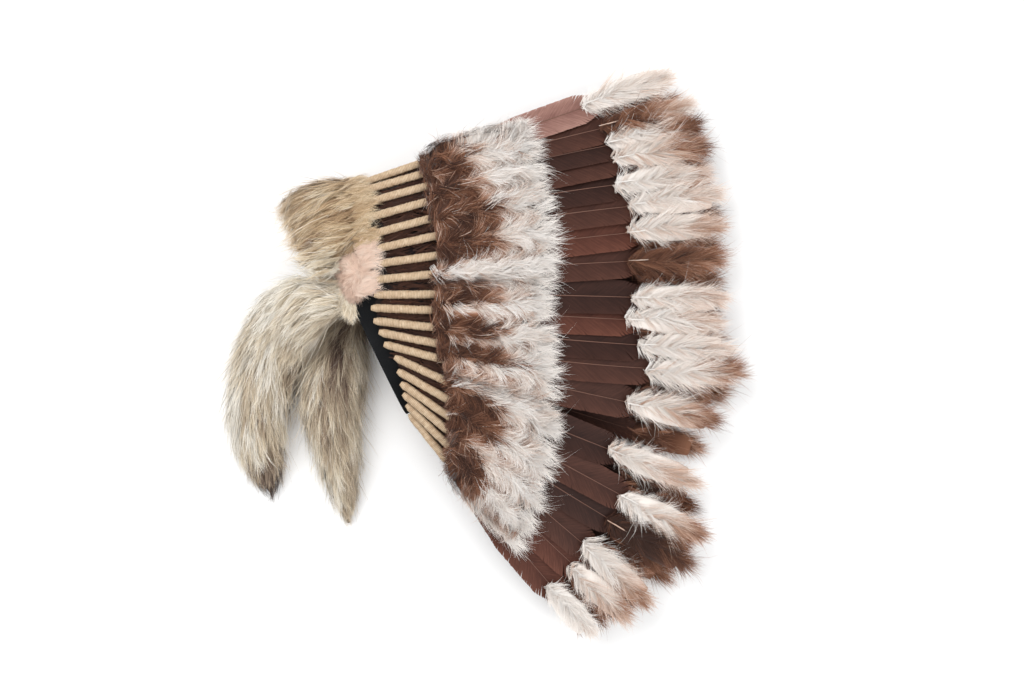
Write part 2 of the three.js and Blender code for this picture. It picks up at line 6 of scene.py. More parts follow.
import bpy
import numpy as np
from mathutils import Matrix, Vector


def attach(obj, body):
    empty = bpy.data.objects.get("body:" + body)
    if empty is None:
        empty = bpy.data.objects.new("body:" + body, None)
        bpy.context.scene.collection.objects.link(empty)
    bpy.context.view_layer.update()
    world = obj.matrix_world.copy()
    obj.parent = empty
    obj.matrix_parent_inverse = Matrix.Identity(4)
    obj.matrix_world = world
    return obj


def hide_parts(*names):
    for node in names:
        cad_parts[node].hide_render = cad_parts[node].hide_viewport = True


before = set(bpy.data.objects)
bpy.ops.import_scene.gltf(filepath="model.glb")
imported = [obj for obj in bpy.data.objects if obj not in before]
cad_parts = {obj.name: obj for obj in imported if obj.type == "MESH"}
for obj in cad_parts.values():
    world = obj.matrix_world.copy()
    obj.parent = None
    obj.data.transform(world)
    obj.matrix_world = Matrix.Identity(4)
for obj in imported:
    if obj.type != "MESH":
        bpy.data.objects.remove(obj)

Array = np.ndarray
Material = bpy.types.Material
Socket = bpy.types.NodeSocket
LOG = logging.getLogger("headdress")

MM = 0.001
LOWEST = 0.2 * MM  # height of the lowest visible point

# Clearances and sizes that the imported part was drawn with
GAP = 0.4 * MM
FELT_GAP = 0.8 * MM
CAP_HALF_LENGTH = 127 * MM
CAP_HALF_HEIGHT = 42 * MM
CAP_DEPTH = 135 * MM
CAP_FULLNESS = 2.4
FELT_THICKNESS = 2.5 * MM
CAP_MIDDLE = 62 * MM
CROWN_TURN = math.radians(25)
RIM_X = -138 * MM
RIM_Y = 45 * MM
UNDER_THICKNESS = 1 * MM
UNDER_TOP = 92 * MM
UNDER_FROM = math.radians(24)
UNDER_TO = math.radians(158)
QUILL_RADIUS = 4.7 * MM
QUILL_LENGTH = 68 * MM
TWINE_TURNS = 42
FEATHER_LENGTH = 300 * MM
VANE_HALF_WIDTH = 20 * MM
VANE_CAMBER = 1.2 * MM
SHINGLE_TILT = math.radians(10)
DROOP = 1.6
TIP_EDGE = 44 * MM
TIP_MIDDLE = 60 * MM
TIP_UNDER = 21 * MM
DOWN_FROM = 66 * MM
DOWN_TO = 196 * MM
PLUME_LENGTH = 112 * MM
PLUME_FOOT = 20 * MM
BROW_CLEAR = 7 * MM
PATCH_OVERHANG = 4 * MM
TAIL_LENGTH = 275 * MM

# How far strands may reach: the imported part's corners and what fur may stand proud
NEAR_CORNER = np.array([-289 - 23, -321 - 25, 0.3]) * MM
FAR_CORNER = np.array([290 + 23, 318 + 25, 129 + 11]) * MM

# Columns: turn round the oval from the brow fold, share of the cap's depth, heading from
# +X, bend along the feather, reach as a share of FEATHER_LENGTH, plume length as a share
FEATHER_ROWS = (
    (13, 0.47, 19, 1.3, 0.912, 1),
    (25, 0.46, 16.4, -2, 0.95, 1),
    (37, 0.47, 16, -4, 0.945, 1),
    (49, 0.41, 16.4, -5, 0.965, 1),
    (59.5, 0.37, 16.5, -9, 0.955, 1),
    (68, 0.36, 13.5, -7, 0.98, 1),
    (75.5, 0.325, 8.5, -2, 0.965, 1),
    (82, 0.24, 6, -3, 0.975, 1),
    (88.5, 0.19, 0.9, -2.5, 0.985, 1),
    (93.5, 0.125, -2, -1, 0.975, 1),
    (99.5, 0.1, -6.6, 3, 1.015, 1),
    (105.5, 0.1, -12, 9, 1.03, 1),
    (112, 0.095, -15, 3, 0.955, 1),
    (120.5, 0.125, -25.5, 4, 0.9, 1),
    (128.2, 0.1, -30, 1, 0.985, 1),
    (136, 0.08, -35.5, 4, 0.96, 1),
    (143.5, 0.06, -39.5, -2, 0.91, 0.97),
    (153, 0.045, -45, 1, 0.9, 0.82),
    (164, 0.03, -52, 2, 0.87, 0.7),
)

# Columns: share of the vane's length, share of its half width
VANE_WIDTHS = ((0.0, 0.3), (0.2, 0.58), (0.54, 0.98), (0.88, 0.95), (1.0, 0.5))

# Columns: share of the quill's length, share of its radius
QUILL_WIDTHS = ((0, 0.6), (0.08, 1), (0.94, 1), (1, 0.55))

# Tail middles from root to tip. Columns: right and back of the temple as shares of
# TAIL_LENGTH
TAIL_TOP_LINE = (
    (-0.055, -0.022),
    (-0.114, -0.026),
    (-0.203, -0.01),
    (-0.288, 0.065),
    (-0.355, 0.178),
    (-0.402, 0.318),
    (-0.412, 0.458),
    (-0.394, 0.59),
    (-0.372, 0.686),
    (-0.36, 0.758),
)
TAIL_UNDER_LINE = (
    (-0.005, -0.02),
    (-0.045, 0.06),
    (-0.08, 0.155),
    (-0.1, 0.265),
    (-0.11, 0.38),
    (-0.1, 0.5),
    (-0.082, 0.61),
    (-0.066, 0.715),
    (-0.052, 0.8),
    (-0.045, 0.87),
)

# How far out the brown of the foot down reaches. Columns: place in the upper row of
# feathers, distance from the quill foot in millimetres
BROWN_REACH = (
    (-0.5, 120),
    (0.5, 126),
    (1.5, 128),
    (3.0, 128),
    (3.6, 138),
    (4.2, 152),
    (5.0, 150),
    (5.6, 138),
    (6.3, 134),
    (6.55, 100),
    (6.8, 76),
    (7.35, 76),
    (7.55, 140),
    (8.65, 146),
    (8.85, 86),
    (9.25, 84),
    (9.45, 142),
    (10.35, 146),
    (10.5, 90),
    (10.7, 90),
    (10.85, 158),
    (11.7, 162),
    (11.9, 88),
    (12.7, 80),
    (12.9, 128),
    (14.0, 148),
    (14.9, 128),
    (15.2, 104),
    (15.6, 112),
    (16.5, 126),
    (17.6, 128),
    (18.5, 108),
)

# Which vane finish each feather has: 0 pink, 1 red, 2 brown, 3 dark. The pink finish is painted
# sheen, lighter and pinker than the feather's own brown; the dark finish is partly the feathers'
# own dark colour and partly painted shade where a feather lies under its neighbour.
VANE_TONES = (0, 2, 3, 2, 3, 2, 1, 2, 3, 1, 3, 2, 2, 3, 2, 3, 2, 1, 1)

# Tones of the upper tip plumes, 0 is dark brown and 1 is white. Columns: body, tip
PLUME_TONES = (
    (0.94, 0.78),
    (0.3, 0.8),
    (0.93, 0.22),
    (0.86, 0.38),
    (0.95, 0.66),
    (0.9, 0.74),
    (0.88, 0.6),
    (0.3, 0.52),
    (0.9, 0.72),
    (0.93, 0.7),
    (0.94, 0.76),
    (0.95, 0.38),
    (0.9, 0.32),
    (0.9, 0.66),
    (0.92, 0.42),
    (0.1, 0.36),
    (0.94, 0.5),
    (0.9, 0.56),
    (0.97, 0.9),
)


class Side(Enum):
    """Which side of the flattened cap a row of feathers is on."""

    TOP = 1
    UNDER = -1


# Maths


def unit(vectors: Array) -> Array:
    """Scale vectors to length one."""
    length = np.linalg.norm(vectors, axis=-1, keepdims=True)
    return vectors / np.maximum(length, 1e-9)


def bump(share: Array) -> Array:
    """Rise from 0 to 1 and fall back to 0 over a share from 0 to 1."""
    return np.sin(np.pi * np.clip(share, 0, 1))


def smooth(low: float, high: float, value: Array) -> Array:
    """Step smoothly from 0 at low to 1 at high.

    Args:
        low: Where the step starts.
        high: Where it ends.
        value: Values to look up.

    Returns:
        Shares from 0 to 1.
    """
    t = np.clip((value - low) / (high - low), 0, 1)
    return t * t * (3 - 2 * t)


def column(rows: tuple, k: int) -> Array:
    """Take one column of a table as an array."""
    return np.array([row[k] for row in rows], float)


def look_up(rows: tuple, value: Array) -> Array:
    """Look values up in a table's first column and read its second between the rows."""
    return np.interp(value, column(rows, 0), column(rows, 1))


def grid(first: Array, second: Array) -> Array:
    """Pair two rows of numbers in a grid, first by second by two."""
    return np.stack(np.meshgrid(first, second, indexing="ij"), axis=-1)


def from_cap(along: Array, rise: Array, up: Array) -> Array:
    """Turn the cap's own directions into the part's.

    Args:
        along: Distance from brow to nape.
        rise: Distance from the rim towards the crown.
        up: Height over the middle of the cap.

    Returns:
        Points in the row frame.
    """
    cos, sin = math.cos(CROWN_TURN), math.sin(CROWN_TURN)
    x = RIM_X + rise * cos + along * sin
    y = RIM_Y + rise * sin - along * cos
    return np.stack(np.broadcast_arrays(x, y, CAP_MIDDLE + up), axis=-1)


def dome_point(turn: Array, rise: Array, out: float = 0.0, inset: float = 0.0) -> Array:
    """Find points on the cap.

    Args:
        turn: Angle round the oval from the brow fold, in radians.
        rise: Distance from the rim towards the crown.
        out: Distance off the felt.
        inset: How much smaller the whole dome is.

    Returns:
        Points in the row frame.
    """
    long = CAP_HALF_LENGTH - inset
    high = CAP_HALF_HEIGHT - inset
    share = np.clip(rise / (CAP_DEPTH - inset), 0, 1)
    shrink = (1 - share**CAP_FULLNESS) ** (1 / CAP_FULLNESS)
    cos, sin = np.cos(turn), np.sin(turn)
    slope = np.hypot(high * cos, long * sin)
    along = -(long * shrink + out * high / slope) * cos
    up = (high * shrink + out * long / slope) * sin
    return from_cap(along, rise, up)


def foot_rise(turn: Array) -> Array:
    """Find how far up the cap the quills' feet are at a turn in radians."""
    return look_up(FEATHER_ROWS, np.abs(np.degrees(turn))) * CAP_DEPTH


# How a point's place in the sheet is searched for: steps a feather, steps along it, nearest
# and farthest distance from the quills' feet in metres, points at a time
SEARCH_PLACES = 12
SEARCH_STEPS = 96
SEARCH_REACH = (0.04, 0.42)
SEARCH_BLOCK = 256


@dataclass
class Fan:
    """One side's row of feathers and the curved sheet that they lie in."""

    side: Side
    turn: Array = field(init=False)
    heading: Array = field(init=False)
    bend: Array = field(init=False)
    length: Array = field(init=False)
    plume: Array = field(init=False)
    foot: Array = field(init=False)
    tip: Array = field(init=False)

    def __post_init__(self) -> None:
        """Work out each feather's place from the table."""
        table = np.array(FEATHER_ROWS, float)
        count = len(table)
        if self.side is Side.UNDER:
            rank = np.arange(1, count) / count
            table = (table[1:] + table[:-1]) / 2
        else:
            rank = (np.arange(count) + 0.5) / count
        turn, above, heading, bend, reach, plume = table.T
        self.turn, self.heading, self.bend = turn, heading, bend
        self.length, self.plume = reach * FEATHER_LENGTH, plume
        seat = FELT_GAP + UNDER_THICKNESS + GAP + QUILL_RADIUS
        around = self.side.value * np.radians(turn)
        self.foot = dome_point(around, above * CAP_DEPTH, seat)
        arch = TIP_EDGE + (TIP_MIDDLE - TIP_EDGE) * bump(rank)
        under = np.full_like(arch, TIP_UNDER)
        self.tip = arch if self.side is Side.TOP else under

    @property
    def count(self) -> int:
        """Number of feathers."""
        return len(self.turn)

    def shaft(self, i: Array, s: Array) -> Array:
        """Find points on feathers' middle lines.

        Args:
            i: Which feathers.
            s: Distances from their feet.

        Returns:
            Points in the row frame.
        """
        share = s / self.length[i]
        heading = np.radians(self.heading[i] + self.bend[i] * share / 2)
        foot = self.foot[i]
        fall = (self.tip[i] - foot[..., 2]) * np.maximum(share, 0) ** DROOP
        x = foot[..., 0] + s * np.cos(heading)
        y = foot[..., 1] + s * np.sin(heading)
        return np.stack([x, y, foot[..., 2] + fall], axis=-1)

    def between(self, place: Array) -> tuple[Array, Array]:
        """Find the feather before each place, and the share of the way to the next."""
        low = np.clip(np.floor(place), 0, self.count - 2).astype(int)
        return low, place - low

    def blend(self, place: Array, s: Array) -> Array:
        """Find points between neighbouring middle lines.

        Args:
            place: Places in the row of feathers.
            s: Distances from the quills' feet.

        Returns:
            Points in the row frame.
        """
        low, t = self.between(place)
        return self.shaft(low, s) * (1 - t)[..., None] + self.shaft(low + 1, s) * t[..., None]

    def length_at(self, place: Array) -> Array:
        """Look up the feathers' length at places in the row."""
        low, t = self.between(place)
        return self.length[low] * (1 - t) + self.length[low + 1] * t

    def axes(self, place: Array, s: Array) -> tuple[Array, Array, Array, Array]:
        """Find the sheet's point and directions.

        Args:
            place: Places in the row of feathers.
            s: Distances from the quills' feet.

        Returns:
            Point, along the feathers, across them towards the nape, and outwards.
        """
        place, s = np.broadcast_arrays(np.asarray(place, float), np.asarray(s, float))
        point = self.blend(place, s)
        along = unit(self.blend(place, s + MM) - self.blend(place, s - MM))
        ahead = np.clip(place + 1, 0, self.count - 1)
        behind = np.clip(place - 1, 0, self.count - 1)
        across = self.blend(ahead, s) - self.blend(behind, s)
        across -= along * np.sum(across * along, axis=-1, keepdims=True)
        across = unit(across)
        out = np.cross(across, along)
        out *= np.sign(out[..., 2:]) * self.side.value
        return point, along, across, out

    def locate(self, points: Array) -> tuple[Array, Array]:
        """Find where in the sheet points lie.

        Args:
            points: Points in the row frame.

        Returns:
            Their places in the row and distances from the quills' feet.
        """
        place = np.linspace(-0.5, self.count - 0.5, SEARCH_PLACES * self.count)
        tried = grid(place, np.linspace(*SEARCH_REACH, SEARCH_STEPS)).reshape(-1, 2)
        sheet = self.blend(tried[:, 0], tried[:, 1])[:, :2]
        nearest = np.empty(len(points), int)
        for start in range(0, len(points), SEARCH_BLOCK):
            block = points[start : start + SEARCH_BLOCK, None, :2] - sheet[None]
            nearest[start : start + SEARCH_BLOCK] = np.argmin(np.sum(block**2, axis=-1), axis=1)
        return tried[nearest, 0], tried[nearest, 1]


# Meshes


@dataclass
class Patch:
    """Triangles of one finish, with an atlas place and a normal at each point."""

    points: Array
    triangles: Array
    atlas: Array
    normals: Array
    finish: int = 0


def join(patches: list[Patch]) -> Patch:
    """Join patches. The whole has the finish of the first.

    Args:
        patches: The patches.

    Returns:
        One patch.
    """
    starts = np.cumsum([0] + [len(p.points) for p in patches[:-1]])
    return Patch(
        np.concatenate([p.points for p in patches]),
        np.concatenate([p.triangles + start for p, start in zip(patches, starts)]),
        np.concatenate([p.atlas for p in patches]),
        np.concatenate([p.normals for p in patches]),
        patches[0].finish,
    )


def make_piece(
    name: str, patches: list[Patch], materials: list[Material], nodes: list[str]
) -> bpy.types.Object:
    """Make one mesh object of patches, and let it stand for its nodes.

    Args:
        name: Its name.
        patches: What it is made of.
        materials: The finishes, in the order of the patches' numbers.
        nodes: The nodes that it replaces.

    Returns:
        The finished object.
    """
    whole = join(patches)
    finishes = [np.full(len(p.triangles), p.finish, np.int32) for p in patches]
    points, faces = whole.points, whole.triangles.astype(np.int32)
    points[:, 2] = np.maximum(points[:, 2], LOWEST)
    mesh = bpy.data.meshes.new(name)
    mesh.vertices.add(len(points))
    mesh.vertices.foreach_set("co", points.ravel())
    mesh.loops.add(faces.size)
    mesh.loops.foreach_set("vertex_index", faces.ravel())
    mesh.polygons.add(len(faces))
    mesh.polygons.foreach_set("loop_start", np.arange(0, faces.size, 3, dtype=np.int32))
    mesh.polygons.foreach_set("material_index", np.concatenate(finishes))
    mesh.polygons.foreach_set("use_smooth", np.ones(len(faces), bool))
    mesh.update(calc_edges=True)
    layer = mesh.uv_layers.new(name="OFBake")
    layer.data.foreach_set("uv", whole.atlas[faces.ravel()].ravel())
    for material in materials:
        mesh.materials.append(material)
    mesh.normals_split_custom_set_from_vertices(unit(whole.normals))
    made = bpy.data.objects.new(name, mesh)
    bpy.context.scene.collection.objects.link(made)
    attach(made, "root")
    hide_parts(*nodes)
    return made


def grid_triangles(columns: int, rows: int, flip: bool = False) -> Array:
    """Triangles of a grid of points stored column by column.

    Args:
        columns: Points along the first direction.
        rows: Points along the second.
        flip: Whether the faces look the other way.

    Returns:
        Triangles as rows of point numbers.
    """
    i, j = np.meshgrid(np.arange(columns - 1), np.arange(rows - 1), indexing="ij")
    a = (i * rows + j).ravel()
    b, c, d = a + rows, a + rows + 1, a + 1
    faces = np.concatenate([np.stack([a, b, c], 1), np.stack([a, c, d], 1)])
    return faces[:, ::-1] if flip else faces


def grid_patch(points: Array, atlas: Array, flip: bool = False, finish: int = 0) -> Patch:
    """Make a patch of a grid of points.

    Args:
        points: Grid of points, columns by rows by three.
        atlas: Grid of atlas places, columns by rows by two.
        flip: Whether the faces look the other way.
        finish: Number of the finish.

    Returns:
        The patch, with smooth normals.
    """
    columns, rows = points.shape[:2]
    du = np.gradient(points, axis=0)
    dv = np.gradient(points, axis=1)
    normal = unit(np.cross(du, dv)) * (-1 if flip else 1)
    faces = grid_triangles(columns, rows, flip)
    return Patch(points.reshape(-1, 3), faces, atlas.reshape(-1, 2), normal.reshape(-1, 3), finish)


@dataclass(frozen=True)
class LockStyle:
    """How the strands of a lock of hair or down lie. Lengths are in metres."""

    strands: int
    length: float
    radius: float
    width: float
    lift: float = 0.3
    droop: float = 0.35
    gather: float = 0.5
    fray: float = 0.15
    curl: float = 0.12
    stray: float = 0.05
    joints: int = 4
    flat: float = 0.5
    back: float = 0.6
    pale: float = 0.0


# How the strands of a lock differ. Pairs are the lowest and the highest share
STRAND_LENGTHS = (0.6, 1.05)
STRAND_RISES = (0.6, 1.3)
STRAND_WIDTHS = (0.7, 1.2)
STRAND_STAGGER = 0.12
STRAND_ROLL = 0.5
STRAND_TONE = 0.05
PALE_TONE = 0.32
# What the length, the fray and the rise of a strand that strays are multiplied by
STRAY_LENGTH, STRAY_FRAY, STRAY_RISE = 1.25, 2.2, 1.6
# The width at each joint but the last, by the number of joints
STRAND_TAPERS = {3: (1.0, 0.7), 4: (1.0, 0.95, 0.62)}
# Normals: how round a lock looks, how much they lean along it, how uneven they are
LOCK_ROUND, LOCK_LEAN, LOCK_UNEVEN = 0.6, 0.15, 0.12
# Limits of strands that are shortened: least room and run in metres, and least share
LEAST_ROOM, LEAST_RUN, LEAST_SHARE = 0.5 * MM, 0.1 * MM, 0.05


def kept_in(base: Array, path: Array) -> Array:
    """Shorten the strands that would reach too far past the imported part.

    Args:
        base: Each strand's root.
        path: The points of each strand.

    Returns:
        The points of the strands, shortened.
    """
    run = path - base[:, None]
    room = np.where(run > 0, FAR_CORNER - base[:, None], base[:, None] - NEAR_CORNER)
    share = np.maximum(room, LEAST_ROOM) / np.maximum(np.abs(run), LEAST_RUN)
    share = np.clip(share.min(axis=(1, 2)), LEAST_SHARE, 1)
    return base[:, None] + run * share[:, None, None]


def strands(
    rng: np.random.Generator,
    style: LockStyle,
    root: Array,
    along: Array,
    out: Array,
    scale: Array,
    tone_root: Array,
    tone_tip: Array,
    sweep: Array | float = 0.0,
) -> Patch:
    """Grow locks of ribbon strands.

    Args:
        rng: Seeded random numbers.
        style: How the strands lie.
        root: Each lock's root.
        along: Each lock's direction over the surface.
        out: Each lock's direction off the surface.
        scale: Each lock's length as a share of the style's.
        tone_root: Tone at each lock's root.
        tone_tip: Tone at each lock's tip.
        sweep: How much each lock bends sideways.

    Returns:
        The patch of ribbons.
    """
    locks, each = len(root), style.strands
    total = locks * each
    pick = np.repeat(np.arange(locks), each)
    along, out = unit(along), unit(out)
    across = unit(np.cross(out, along))
    angle = rng.uniform(0, 2 * np.pi, total)
    disk = np.sqrt(rng.uniform(0, 1, total))
    off_across = disk * np.cos(angle) * style.radius
    off_out = disk * np.sin(angle) * style.radius * style.flat
    length = style.length * scale[pick] * rng.uniform(*STRAND_LENGTHS, total)
    straying = rng.uniform(0, 1, total) < style.stray
    length = length * np.where(straying, STRAY_LENGTH, 1)
    stagger = rng.uniform(-STRAND_STAGGER, STRAND_STAGGER, total) * style.length
    stagger = stagger - style.back * length
    curl = (rng.normal(0, style.curl, locks) + sweep)[pick]
    fray = rng.normal(0, style.fray, total) * np.where(straying, STRAY_FRAY, 1)
    rise = style.lift * rng.uniform(*STRAND_RISES, total)
    rise = rise * np.where(straying, STRAY_RISE, 1)
    t = np.linspace(0, 1, style.joints)[None, :, None]
    base = root[pick] + along[pick] * stagger[:, None]
    path = base[:, None] + along[pick][:, None] * (length[:, None, None] * t)
    side = off_across[:, None, None] * (1 - style.gather * t)
    side = side + length[:, None, None] * (curl + fray)[:, None, None] * t**2
    up = off_out[:, None, None] * (1 - style.gather * t)
    up = up + length[:, None, None] * (rise[:, None, None] * t - style.droop * t**2)
    path = path + across[pick][:, None] * side + out[pick][:, None] * up
    path = kept_in(base, path)
    roll = rng.normal(0, STRAND_ROLL, total)[:, None]
    face = across[pick] * np.cos(roll) + out[pick] * np.sin(roll)
    taper = np.array(STRAND_TAPERS[style.joints])
    half = 0.5 * style.width * rng.uniform(*STRAND_WIDTHS, total)
    edge = face[:, None] * (half[:, None] * taper[None])[..., None]
    body = path[:, :-1]
    points = np.concatenate([body - edge, body + edge, path[:, -1:]], axis=1)
    n = style.joints - 1
    per = 2 * n + 1
    faces = []
    for k in range(n - 1):
        faces += [(k, k + 1, n + k + 1), (k, n + k + 1, n + k)]
    faces.append((n - 1, 2 * n, 2 * n - 1))
    faces = np.array(faces)[None] + (np.arange(total) * per)[:, None, None]
    lean = unit(out[pick] + across[pick] * (off_across / style.radius * LOCK_ROUND)[:, None])
    lean = unit(lean + along[pick] * LOCK_LEAN + rng.normal(0, LOCK_UNEVEN, (total, 3)))
    normals = np.repeat(lean[:, None], per, axis=1)
    tone = rng.normal(0, STRAND_TONE, total)
    tone = tone + np.where(rng.uniform(0, 1, total) < style.pale, PALE_TONE, 0.0)
    shares = np.linspace(0, 1, style.joints)
    start = (tone_root[pick] + tone)[:, None]
    end = (tone_tip[pick] + tone)[:, None]
    v = np.clip(start + (end - start) * shares[None] ** 1.5, 0.03, 0.97)
    u = np.broadcast_to(0.03 + 0.94 * shares[None], v.shape)
    low = np.stack([u[:, :-1], v[:, :-1] - 0.002], axis=-1)
    high = np.stack([u[:, :-1], v[:, :-1] + 0.002], axis=-1)
    atlas = np.concatenate([low, high, np.stack([u[:, -1:], v[:, -1:]], axis=-1)], axis=1)
    return Patch(
        points.reshape(-1, 3), faces.reshape(-1, 3), atlas.reshape(-1, 2), normals.reshape(-1, 3)
    )


SPREAD = 6  # points drawn for each that is kept
WELD = 0.02 * MM  # distance within which a node's corners are one


def spaced(points: Array, spread: int) -> Array:
    """Choose points that stand well apart.

    Args:
        points: The points to choose from.
        spread: Number of points that each choice is made from.

    Returns:
        Indices of the chosen points.
    """
    gap = np.full(len(points), np.inf)
    kept = []
    for start in range(0, len(points), spread):
        kept.append(start + int(np.argmax(gap[start : start + spread])))
        gap = np.minimum(gap, np.linalg.norm(points - points[kept[-1]], axis=1))
    return np.array(kept)


@dataclass
class Form:
    """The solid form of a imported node, as the core that pile grows from."""

    points: Array
    triangles: Array
    normals: Array

    @classmethod
    def of_node(cls, name: str) -> "Form":
        """Read a node's mesh and weld it.

        Args:
            name: The node's name.

        Returns:
            The form with smooth normals.
        """
        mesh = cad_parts[name].data
        mesh.calc_loop_triangles()
        raw = np.zeros(len(mesh.vertices) * 3)
        mesh.vertices.foreach_get("co", raw)
        corners = np.zeros(len(mesh.loop_triangles) * 3, np.int32)
        mesh.loop_triangles.foreach_get("vertices", corners)
        raw = raw.reshape(-1, 3)
        keys = np.round(raw / WELD).astype(np.int64)
        _, first, back = np.unique(keys, axis=0, return_index=True, return_inverse=True)
        points = raw[first]
        triangles = back.ravel()[corners].reshape(-1, 3)
        a, b, c = triangles.T
        triangles = triangles[(a != b) & (b != c) & (c != a)]
        face = np.cross(
            points[triangles[:, 1]] - points[triangles[:, 0]],
            points[triangles[:, 2]] - points[triangles[:, 0]],
        )
        normals = np.zeros_like(points)
        for k in range(3):
            np.add.at(normals, triangles[:, k], face)
        return cls(points, triangles, unit(normals))

    def scatter(self, rng: np.random.Generator, count: int) -> tuple[Array, Array]:
        """Spread points evenly over the surface.

        Args:
            rng: Seeded random numbers.
            count: Number of points.

        Returns:
            The points and the normals there.
        """
        a, b, c = (self.points[self.triangles[:, k]] for k in range(3))
        area = np.linalg.norm(np.cross(b - a, c - a), axis=1)
        drawn = SPREAD * count
        pick = rng.choice(len(area), drawn, p=area / area.sum())
        r1, r2 = np.sqrt(rng.uniform(0, 1, drawn)), rng.uniform(0, 1, drawn)
        weights = np.stack([1 - r1, r1 * (1 - r2), r1 * r2], axis=1)[..., None]
        corners = self.triangles[pick]
        points = np.sum(self.points[corners] * weights, axis=1)
        normals = unit(np.sum(self.normals[corners] * weights, axis=1))
        kept = spaced(points, SPREAD)
        return points[kept], normals[kept]

    def core(self, inset: float, tone: Array) -> Patch:
        """Make a patch of the form, drawn in by an inset.

        Args:
            inset: Distance that it is drawn in.
            tone: Tone at each point.

        Returns:
            The patch.
        """
        points = self.points - self.normals * inset
        v = np.clip(tone, 0.03, 0.97)
        # The core takes the root end of the atlas, which the pile finishes draw darker: painted
        # shade deep in the pile
        atlas = np.stack([0.03 + 0.2 * bump(v * 7), v], axis=1)
        return Patch(points, self.triangles, atlas, self.normals)


# Finishes


class Shader:
    """A node material in the making."""

    def __init__(self, name: str) -> None:
        """Start the material."""
        self.material = bpy.data.materials.new(name)
        self.material.use_nodes = True
        self.tree = self.material.node_tree
        self.surface = self.tree.nodes["Principled BSDF"]

    def put(self, node: bpy.types.Node, inputs: dict) -> None:
        """Link or set a node's inputs.

        Args:
            node: The node.
            inputs: Sockets or fixed values, by the inputs' names or numbers.
        """
        for key, value in inputs.items():
            if isinstance(value, Socket):
                self.tree.links.new(value, node.inputs[key])
            else:
                node.inputs[key].default_value = value

    def node(self, kind: str, inputs: dict, **settings: str) -> bpy.types.Node:
        """Add a node.

        Args:
            kind: Its type.
            inputs: Its inputs, as for put.
            settings: Its own settings, made before the inputs.

        Returns:
            The node.
        """
        node = self.tree.nodes.new(kind)
        for key, value in settings.items():
            setattr(node, key, value)
        self.put(node, inputs)
        return node

    def maths(self, operation: str, *values: float | Socket) -> Socket:
        """Add a maths node.

        Args:
            operation: What it does.
            values: Its inputs.

        Returns:
            Its output.
        """
        inputs = dict(enumerate(values))
        return self.node("ShaderNodeMath", inputs, operation=operation).outputs[0]

    def axes(self) -> tuple[Socket, Socket]:
        """Add the atlas place as two numbers.

        Returns:
            Its two axes.
        """
        place = self.node("ShaderNodeUVMap", {}, uv_map="OFBake")
        split = self.node("ShaderNodeSeparateXYZ", {0: place.outputs["UV"]})
        return split.outputs[0], split.outputs[1]

    def streaks(self, u: Socket, v: Socket, scales: tuple[float, float]) -> Socket:
        """Add noise that is stretched along one atlas direction.

        Args:
            u: First atlas axis.
            v: Second atlas axis.
            scales: Scale along each.

        Returns:
            The noise from 0 to 1.
        """
        place = {k: self.maths("MULTIPLY", axis, scales[k]) for k, axis in enumerate((u, v))}
        vector = self.node("ShaderNodeCombineXYZ", place).outputs[0]
        inputs = {"Vector": vector, "Scale": 1.0, "Detail": 3.0}
        return self.node("ShaderNodeTexNoise", inputs).outputs["Fac"]

    def ramp(self, value: Socket, *stops: tuple) -> Socket:
        """Add a colour ramp.

        Args:
            value: What picks the colour.
            stops: Rows of position and colour.

        Returns:
            The colour.
        """
        node = self.node("ShaderNodeValToRGB", {"Fac": value})
        elements = node.color_ramp.elements
        while len(elements) > 1:
            elements.remove(elements[-1])
        for k, (position, colour) in enumerate(stops):
            element = elements[0] if k == 0 else elements.new(position)
            element.position = position
            element.color = (*colour, 1)
        return node.outputs["Color"]

    def tint(self, colour: Socket, value: Socket) -> Socket:
        """Multiply a colour by a number."""
        inputs = {0: colour, "Scale": value}
        return self.node("ShaderNodeVectorMath", inputs, operation="SCALE").outputs[0]

    def bumps(self, height: Socket, strength: float, distance: float) -> None:
        """Raise the surface in small bumps.

        Args:
            height: Height from 0 to 1.
            strength: How much they show.
            distance: How high they are, in metres.
        """
        inputs = {"Strength": strength, "Distance": distance, "Height": height}
        bumps = self.node("ShaderNodeBump", inputs)
        self.put(self.surface, {"Normal": bumps.outputs["Normal"]})


@dataclass(frozen=True)
class PileFinish:
    """Down or fur: the tone picks the hue, and a strand is drawn darker at its root and lighter at
    its tip, as painted shade deep in the pile.
    """

    name: str
    stops: tuple
    root: float
    tip: float
    roughness: float = 0.85
    sheen: float = 0.25
    sheen_roughness: float = 0.5
    gloss: float = 0.25
    streaks: tuple = (2.0, 90.0)

    def material(self) -> Material:
        """Make the node material.

        Returns:
            The material.
        """
        make = Shader(self.name)
        u, v = make.axes()
        # Painted shade: each strand is darkened towards its root, deep in the pile
        along = make.maths("MULTIPLY_ADD", u, self.tip - self.root, self.root)
        streaked = make.maths("MULTIPLY_ADD", make.streaks(u, v, self.streaks), 0.3, 0.85)
        shade = make.maths("MULTIPLY", along, streaked)
        inputs = {"Base Color": make.tint(make.ramp(v, *self.stops), shade)}
        inputs |= {"Roughness": self.roughness, "Specular IOR Level": self.gloss}
        inputs |= {"Sheen Weight": self.sheen, "Sheen Roughness": self.sheen_roughness}
        make.put(make.surface, inputs)
        return make.material


